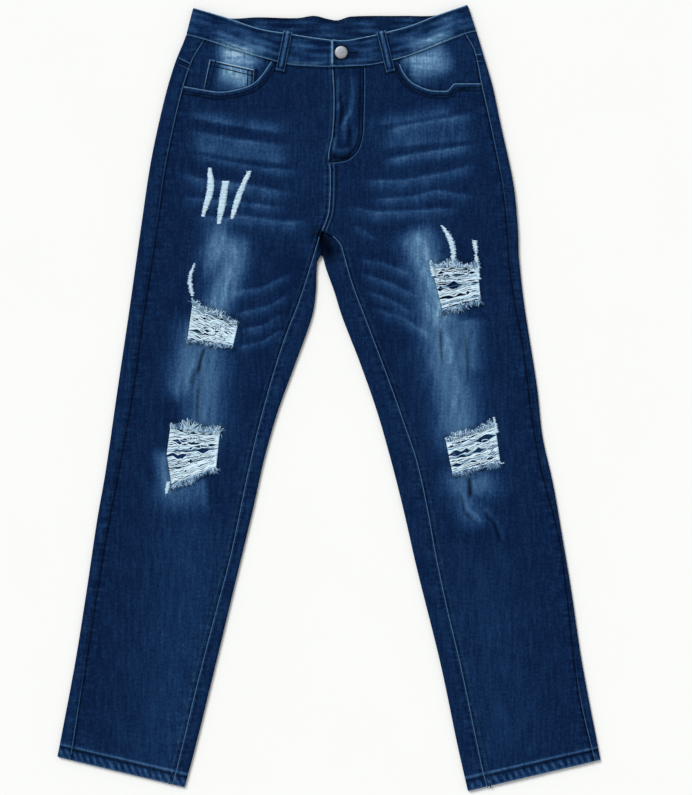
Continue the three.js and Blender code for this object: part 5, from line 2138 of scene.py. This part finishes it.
# ---------- Seams and stitching ----------
@dataclass
class Seams:
    """Raised seam edges and rows of stitches on the outside of the garment, with strips of painted shade in
    the stitches' grooves.
    """

    welts_and_groove_shade: Bundle = field(default_factory=Bundle)
    stitches: Bundle = field(default_factory=Bundle)
    draw: np.random.Generator = field(default_factory=lambda: np.random.default_rng(41))

    def path(self, line: Array, height: Height, lift: float) -> Array:
        """A line in the plane laid on the cloth."""
        return np.column_stack([line, height(line[:, 0], line[:, 1]) + lift])

    def welt(self, line: Array, height: Height, wide: float, wear: Level, lift: float = 0.0) -> None:
        """Adds a raised seam edge.

        Args:
            line: Points of the line.
            height: The cloth's height at points.
            wide: Half its width.
            wear: How pale it is.
            lift: How far above the cloth its middle runs.
        """
        path = self.path(line, height, lift)
        uneven = 1 + 0.12 * np.sin(np.arange(len(path)) * 1.7) + 0.08 * self.draw.normal(size=len(path))
        self.welts_and_groove_shade.tube(path, wide * uneven, 0.5, wear, 8)

    def row(self, line: Array, height: Height, wear: float = 0.0, groove: float | None = 0.0) -> None:
        """Adds a row of stitches, over a strip of painted shade for the groove that it pulls where it has
        one.

        Args:
            line: Points of the line.
            height: The cloth's height at points.
            wear: How pale the thread is.
            groove: How pale the strip of painted groove shade is, or None for no strip.
        """
        if groove is not None:
            self.welts_and_groove_shade.tube(self.path(line, height, 0.0), 0.85, 0.24, groove, 6)
        for start in np.arange(0, lengths(line)[-1] - STITCH * 0.8, STITCH):
            at = np.linspace(start, start + STITCH * 0.78, 4)
            path = self.path(points_at(line, at), height, 0.20)
            path[:, 2] -= (0.35, 0.0, 0.0, 0.35)
            self.stitches.tube(path, (0.2, 0.36, 0.36, 0.2), 0.28, wear, 5)

    def sides(self) -> None:
        """Seams of the two legs, with the hems."""
        for side in SIDES:
            def height(x: Array, y: Array, side: Side = side) -> Array:
                """Height of the leg's top."""
                return over(side, x, y) + smooth(np.abs(x - side.fold(y)), 6, 30) * relief(x, y)

            foot = side.hem[0][1] + 3
            y = np.arange(foot, 470 if side is RIGHT else 478, 3.0)
            y = y[y < WAIST_FRONT(side.outseam(y)) - 1]
            pale = 0.06 + 0.50 * smooth(y, 180, 440) + 0.42 * smooth(-y, 330, 430)
            self.welt(stacked(side.outseam(y) + side.out * 0.8, y), height, 0.5, pale, -0.15)
            y = np.arange(side.hem[1][1] + 4, 214, 3.0)
            self.welt(stacked(side.inseam(y) + side.out * 0.8, y), height, 0.5, 0.60)
            self.row(stacked(side.inseam(y) + side.out * 5.6, y), height, 0.26, 0.06)
            outer, inner = np.array(side.hem[0], float), np.array(side.hem[1], float)
            start = outer + (-side.out * 3.5, 0.0)
            end = inner + (side.out * 3.5, 0.0)
            hem = line_through((tuple(start), tuple(end)), 2.0)
            self.row(hem + (0.0, HEM - 2.2), height, 0.20)

    def mouths(self) -> None:
        """The pocket mouths: a rolled edge and two rows of stitches."""
        for side in SIDES:
            line, height = mouth_line(side), partial(front_top, side)
            self.welt(beside(line, side.out * 0.7), height, 0.8, 0.66)
            for distance in MOUTH_ROWS:
                self.row(beside(line, side.out * distance), height, 0.06)

    def fly(self) -> None:
        """The fly's folded edge, its curved rows and the seam below it."""
        height = partial(front_top, LEFT)
        y = np.arange(312.0, 432.0, 3.0)
        self.welt(stacked(CENTRE_FRONT(y) + 0.8, y), height, 0.7, 0.60)
        y = np.arange(219.0, 309.0, 3.0)
        self.welt(stacked(CENTRE_FRONT(y) + 0.8, y), height, 0.6, 0.62)
        for aside, wear, groove in ((3.2, 0.04, 0.0), (5.6, 0.50, 0.28), (8.2, 0.04, 0.0)):
            self.row(stacked(CENTRE_FRONT(y) + aside, y), height, wear, groove)
        line = line_through(FLY_CURVE, 3.0)
        self.welt(line, height, 0.5, 0.42, -0.1)
        self.row(beside(line, -1.9), height, 0.0)
        self.row(beside(line, -6.2), height, 0.02)

    def waist(self) -> None:
        """The waist seam and the rows along the waistband."""
        def band(x: Array, y: Array) -> Array:
            """Height of the waistband's front."""
            return under(BAND_MIDDLE) + RIM + band_lap(x) * (x > 3.5)

        for start, end in ((-186.0, 3.0), (4.5, 191.0)):
            x = np.linspace(start, end, 76)
            foot = stacked(x, WAIST_FRONT(x))
            self.welt(foot + (0.0, 0.1), band, 0.6, 0.55 + 0.25 * hip_glow(x), -0.7)
            self.row(foot + (0.0, 2.8), band, 0.06, None)
        for start, end in ((-176.0, 3.0), (5.0, 180.0)):
            x = np.linspace(start, end, 76)
            top = stacked(x, BAND_TOP_FRONT(x))
            self.welt(top + (0.0, -0.4), band, 0.6, 0.80, -0.5)
            self.row(top + (0.0, -3.4), band, 0.06, None)
        edge = stacked(6.6, np.linspace(437, 467, 12))
        self.row(edge, band, 0.04)
        self.welt(edge - (2.0, 0.0), band, 1.3, 0.74, -0.3)

    def yokes(self) -> None:
        """The yoke seams on top, beside the side folds."""
        for side in SIDES:
            height = partial(over, side)
            seam = yoke_seam_top(side)
            start = float(side.outseam(side.yoke[1])) + side.out * 0.5
            end = float(side.fold(side.yoke[0])) - side.out * 3.0
            x = np.linspace(start, end, 8)
            line = stacked(x, seam(x))
            self.welt(line + (0.0, 0.5), height, 0.6, 0.50)
            self.welt(line + (0.0, -8.0), height, 0.5, 0.36, -0.1)
            for away in (-2.6, -5.6):
                self.row(line + (0.0, away), height, 0.0)

    def coin(self, pocket: CoinPocket) -> None:
        """The coin pocket's two rows, inside its top and its sides."""
        def height(x: Array, y: Array) -> Array:
            """Height of the pocket."""
            return pocket.height(x, y) + 0.15

        (ax, ay), (bx, by), (cx, cy), (dx, dy) = pocket.corners
        for inset in (2.4, 8.0):
            corners = (
                ((dx + inset, dy + 6), (ax + inset, ay - 1)),
                ((ax + 1, ay - inset), (bx - 1, by - inset)),
                ((bx - inset, by - 1), (cx - inset, cy + 12)),
            )
            for ends in corners:
                self.row(line_through(ends, 2.0), height, 0.05, 0.03)

    def back(self) -> None:
        """The seams of the back: the seat seam and the two yoke seams."""
        def height(_x: Array, y: Array) -> Array:
            """Height of the underside."""
            return under(y) + 0.15

        y = np.arange(186.0, 460.0, 3.0)
        self.welt(stacked(CENTRE_BACK, y), height, 1.0, 0.10)
        for side in SIDES:
            x = np.linspace(float(side.fold(side.yoke[0])) - side.out * 4, CENTRE_BACK, 60)
            seam = stacked(x, yoke_seam_under(side)(x))
            self.welt(seam, height, 0.8, 0.40)

    def build(self, wardrobe: Wardrobe, pocket: CoinPocket) -> None:
        """Builds and dresses the seams and stitches."""
        for part in (self.sides, self.mouths, self.fly, self.waist, self.yokes, self.back):
            part()
        self.coin(pocket)
        dress(self.welts_and_groove_shade.build("seam_edges_and_groove_shade"), wardrobe.seam, Slot.DENIM)
        dress(self.stitches.build("seam_stitches"), wardrobe.seam, Slot.DENIM)


# ---------- Button ----------
@dataclass
class Button:
    """The waistband's button: a low domed cap with a rounded rim, done up through its buttonhole."""

    segments: int = 64

    def build(self, wardrobe: Wardrobe) -> None:
        """Builds and dresses the cap, and the buttonhole's stitches over a dark strip of painted shadow in
        its slit.
        """
        foot = float(under(BAND_MIDDLE)) + RIM + GAP
        lap_top = foot + BAND_RISE
        r = BUTTON_RADIUS
        profile = [
            (0.0, foot), (3.0, foot), (3.0, lap_top), (r - 1.2, lap_top), (r - 0.3, lap_top + 0.3),
            (r, lap_top + 0.8), (r - 0.15, lap_top + 1.3), (r - 0.6, lap_top + 1.75),
            (r - 1.3, lap_top + 2.05), (r - 2.4, lap_top + 2.2), (r * 0.5, lap_top + 2.38),
            (r * 0.25, lap_top + 2.45), (0.0, lap_top + 2.48),
        ]
        turn = np.arange(self.segments) * math.tau / self.segments
        rings = [stacked(radius * np.cos(turn), radius * np.sin(turn), z) for radius, z in profile[1:-1]]
        ends = np.array([(0.0, 0.0, profile[0][1]), (0.0, 0.0, profile[-1][1])])
        points = np.concatenate([*rings, ends]) + (*BUTTON_AT, 0.0)
        n, last = self.segments, len(rings) * self.segments
        faces = [
            (row * n + i, row * n + (i + 1) % n, (row + 1) * n + (i + 1) % n, (row + 1) * n + i)
            for row in range(len(rings) - 1)
            for i in range(n)
        ]
        faces += [(last, (i + 1) % n, i) for i in range(n)]
        faces += [(last + 1, last - n + i, last - n + (i + 1) % n) for i in range(n)]
        cap = make_object("button_cap", points, faces, {})
        dress(cap, wardrobe.metal, Slot.METAL, "button")
        hole = Bundle()
        top = lap_top - GAP + 0.1
        slit = stacked(np.linspace(BUTTON_AT[0] + 6.0, BUTTONHOLE_END, 14), BUTTON_AT[1] - 0.6, top - 0.1)
        # A dark strip in the slit: painted shadow.
        hole.tube(slit, 0.8, 0.35, 0.0, 6)
        for step in np.arange(BUTTON_AT[0] + 6.5, BUTTONHOLE_END + 1.0, 0.9):
            for away in (-1, 1):
                start = np.array([step, BUTTON_AT[1] - 0.6 + away * 0.9, top])
                path = start + np.linspace(0, 1, 4)[:, None] * np.array([0.0, away * 1.5, 0.0])
                hole.tube(path, 0.35, 0.3, 0.12, 5)
        dress(hole.build("buttonhole_stitches_and_slit_shadow"), wardrobe.seam, Slot.DENIM)


# ---------- Studio ----------
@dataclass
class Studio:
    """A pale floor, soft light and a camera that looks straight down."""

    view: Place = (0.906, 1.0415)  # width and height that the camera sees, in metres
    middle: Place = (0.0224, 0.0007)  # what it looks at, in metres
    lens: float = 100.0  # its focal length, in millimetres
    sensor: float = 36.0  # its sensor's height, in millimetres
    sky: float = 0.50  # strength of the light from all round
    key: float = 2.35  # strength of the main light

    def camera(self) -> None:
        """Makes the camera."""
        data = bpy.data.cameras.new("camera")
        data.sensor_fit = "VERTICAL"
        data.sensor_height = self.sensor
        data.lens = self.lens
        data.clip_end = 20.0
        away = self.view[1] * self.lens / self.sensor
        camera = bpy.data.objects.new("camera", data)
        camera.location = (*self.middle, away + RIM * MM)
        bpy.context.scene.collection.objects.link(camera)
        bpy.context.scene.camera = camera

    def lights(self) -> None:
        """Makes the light from all round and the main light."""
        world = bpy.data.worlds.new("studio")
        world.use_nodes = True
        background = world.node_tree.nodes["Background"]
        background.inputs["Color"].default_value = (1.0, 1.0, 1.0, 1.0)
        background.inputs["Strength"].default_value = self.sky
        bpy.context.scene.world = world
        data = bpy.data.lights.new("main_light", "SUN")
        data.energy = self.key
        data.angle = math.radians(25)
        light = bpy.data.objects.new("main_light", data)
        light.rotation_euler = (math.radians(-32), math.radians(-30), 0.0)
        bpy.context.scene.collection.objects.link(light)

    def floor(self) -> None:
        """Makes the floor."""
        corners = np.array([(-4000, -4000, 0), (4000, -4000, 0), (4000, 4000, 0), (-4000, 4000, 0)], float)
        floor = make_object("floor", corners - (0, 0, 0.2), [(0, 1, 2, 3)], {})
        floor.data.materials.append(FloorFinish().material())

    def build(self) -> None:
        """Makes the whole studio, with plain colour handling."""
        bpy.context.scene.view_settings.view_transform = "Standard"
        self.camera()
        self.lights()
        self.floor()


def main() -> None:
    """Builds the garment piece by piece, then the studio."""
    logging.basicConfig(level=logging.INFO, format="%(name)s: %(message)s")
    wardrobe = Wardrobe.filled()
    # each mouth, x where it meets the waistband, and x where its facing ends
    mouths = {"right": (MOUTH_RIGHT, -66.0, -52.0), "left": (mouth_left, 81.0, 68.0)}
    for side in SIDES:
        mouth, mouth_end, facing_end = mouths[side.name]
        holes = [rip.hole() for rip in RIPS if rip.side is side]
        FrontPanel(side, mouth, mouth_end, holes, (0.300, 1.000)).build(wardrobe)
        BackPanel(side, (0.420, 1.030)).build(wardrobe)
        Yoke(side, (0.240, 0.075)).build(wardrobe)
        facing = PocketFacing(side, mouth, facing_end, (0.150, 0.100))
        facing.build(wardrobe)
        if side is RIGHT:
            pocket = CoinPocket(facing)
            pocket.build(wardrobe)
        BackPocket(side).build(wardrobe)
    Waistband().build(wardrobe)
    for side, line in zip(SIDES, LOOP_LINES):
        BeltLoop(f"belt_loop_front_{side.name}", *line).build(wardrobe)
    for place, x in (("right", -112), ("centre", CENTRE_BACK), ("left", 100)):
        BeltLoop(f"belt_loop_back_{place}", (x, 492), (x, 440), True).build(wardrobe)
    for rip in RIPS:
        rip.build(wardrobe)
    build_slashes(wardrobe)
    Seams().build(wardrobe, pocket)
    Button().build(wardrobe)
    Studio().build()


if __name__ == "__main__":
    main()
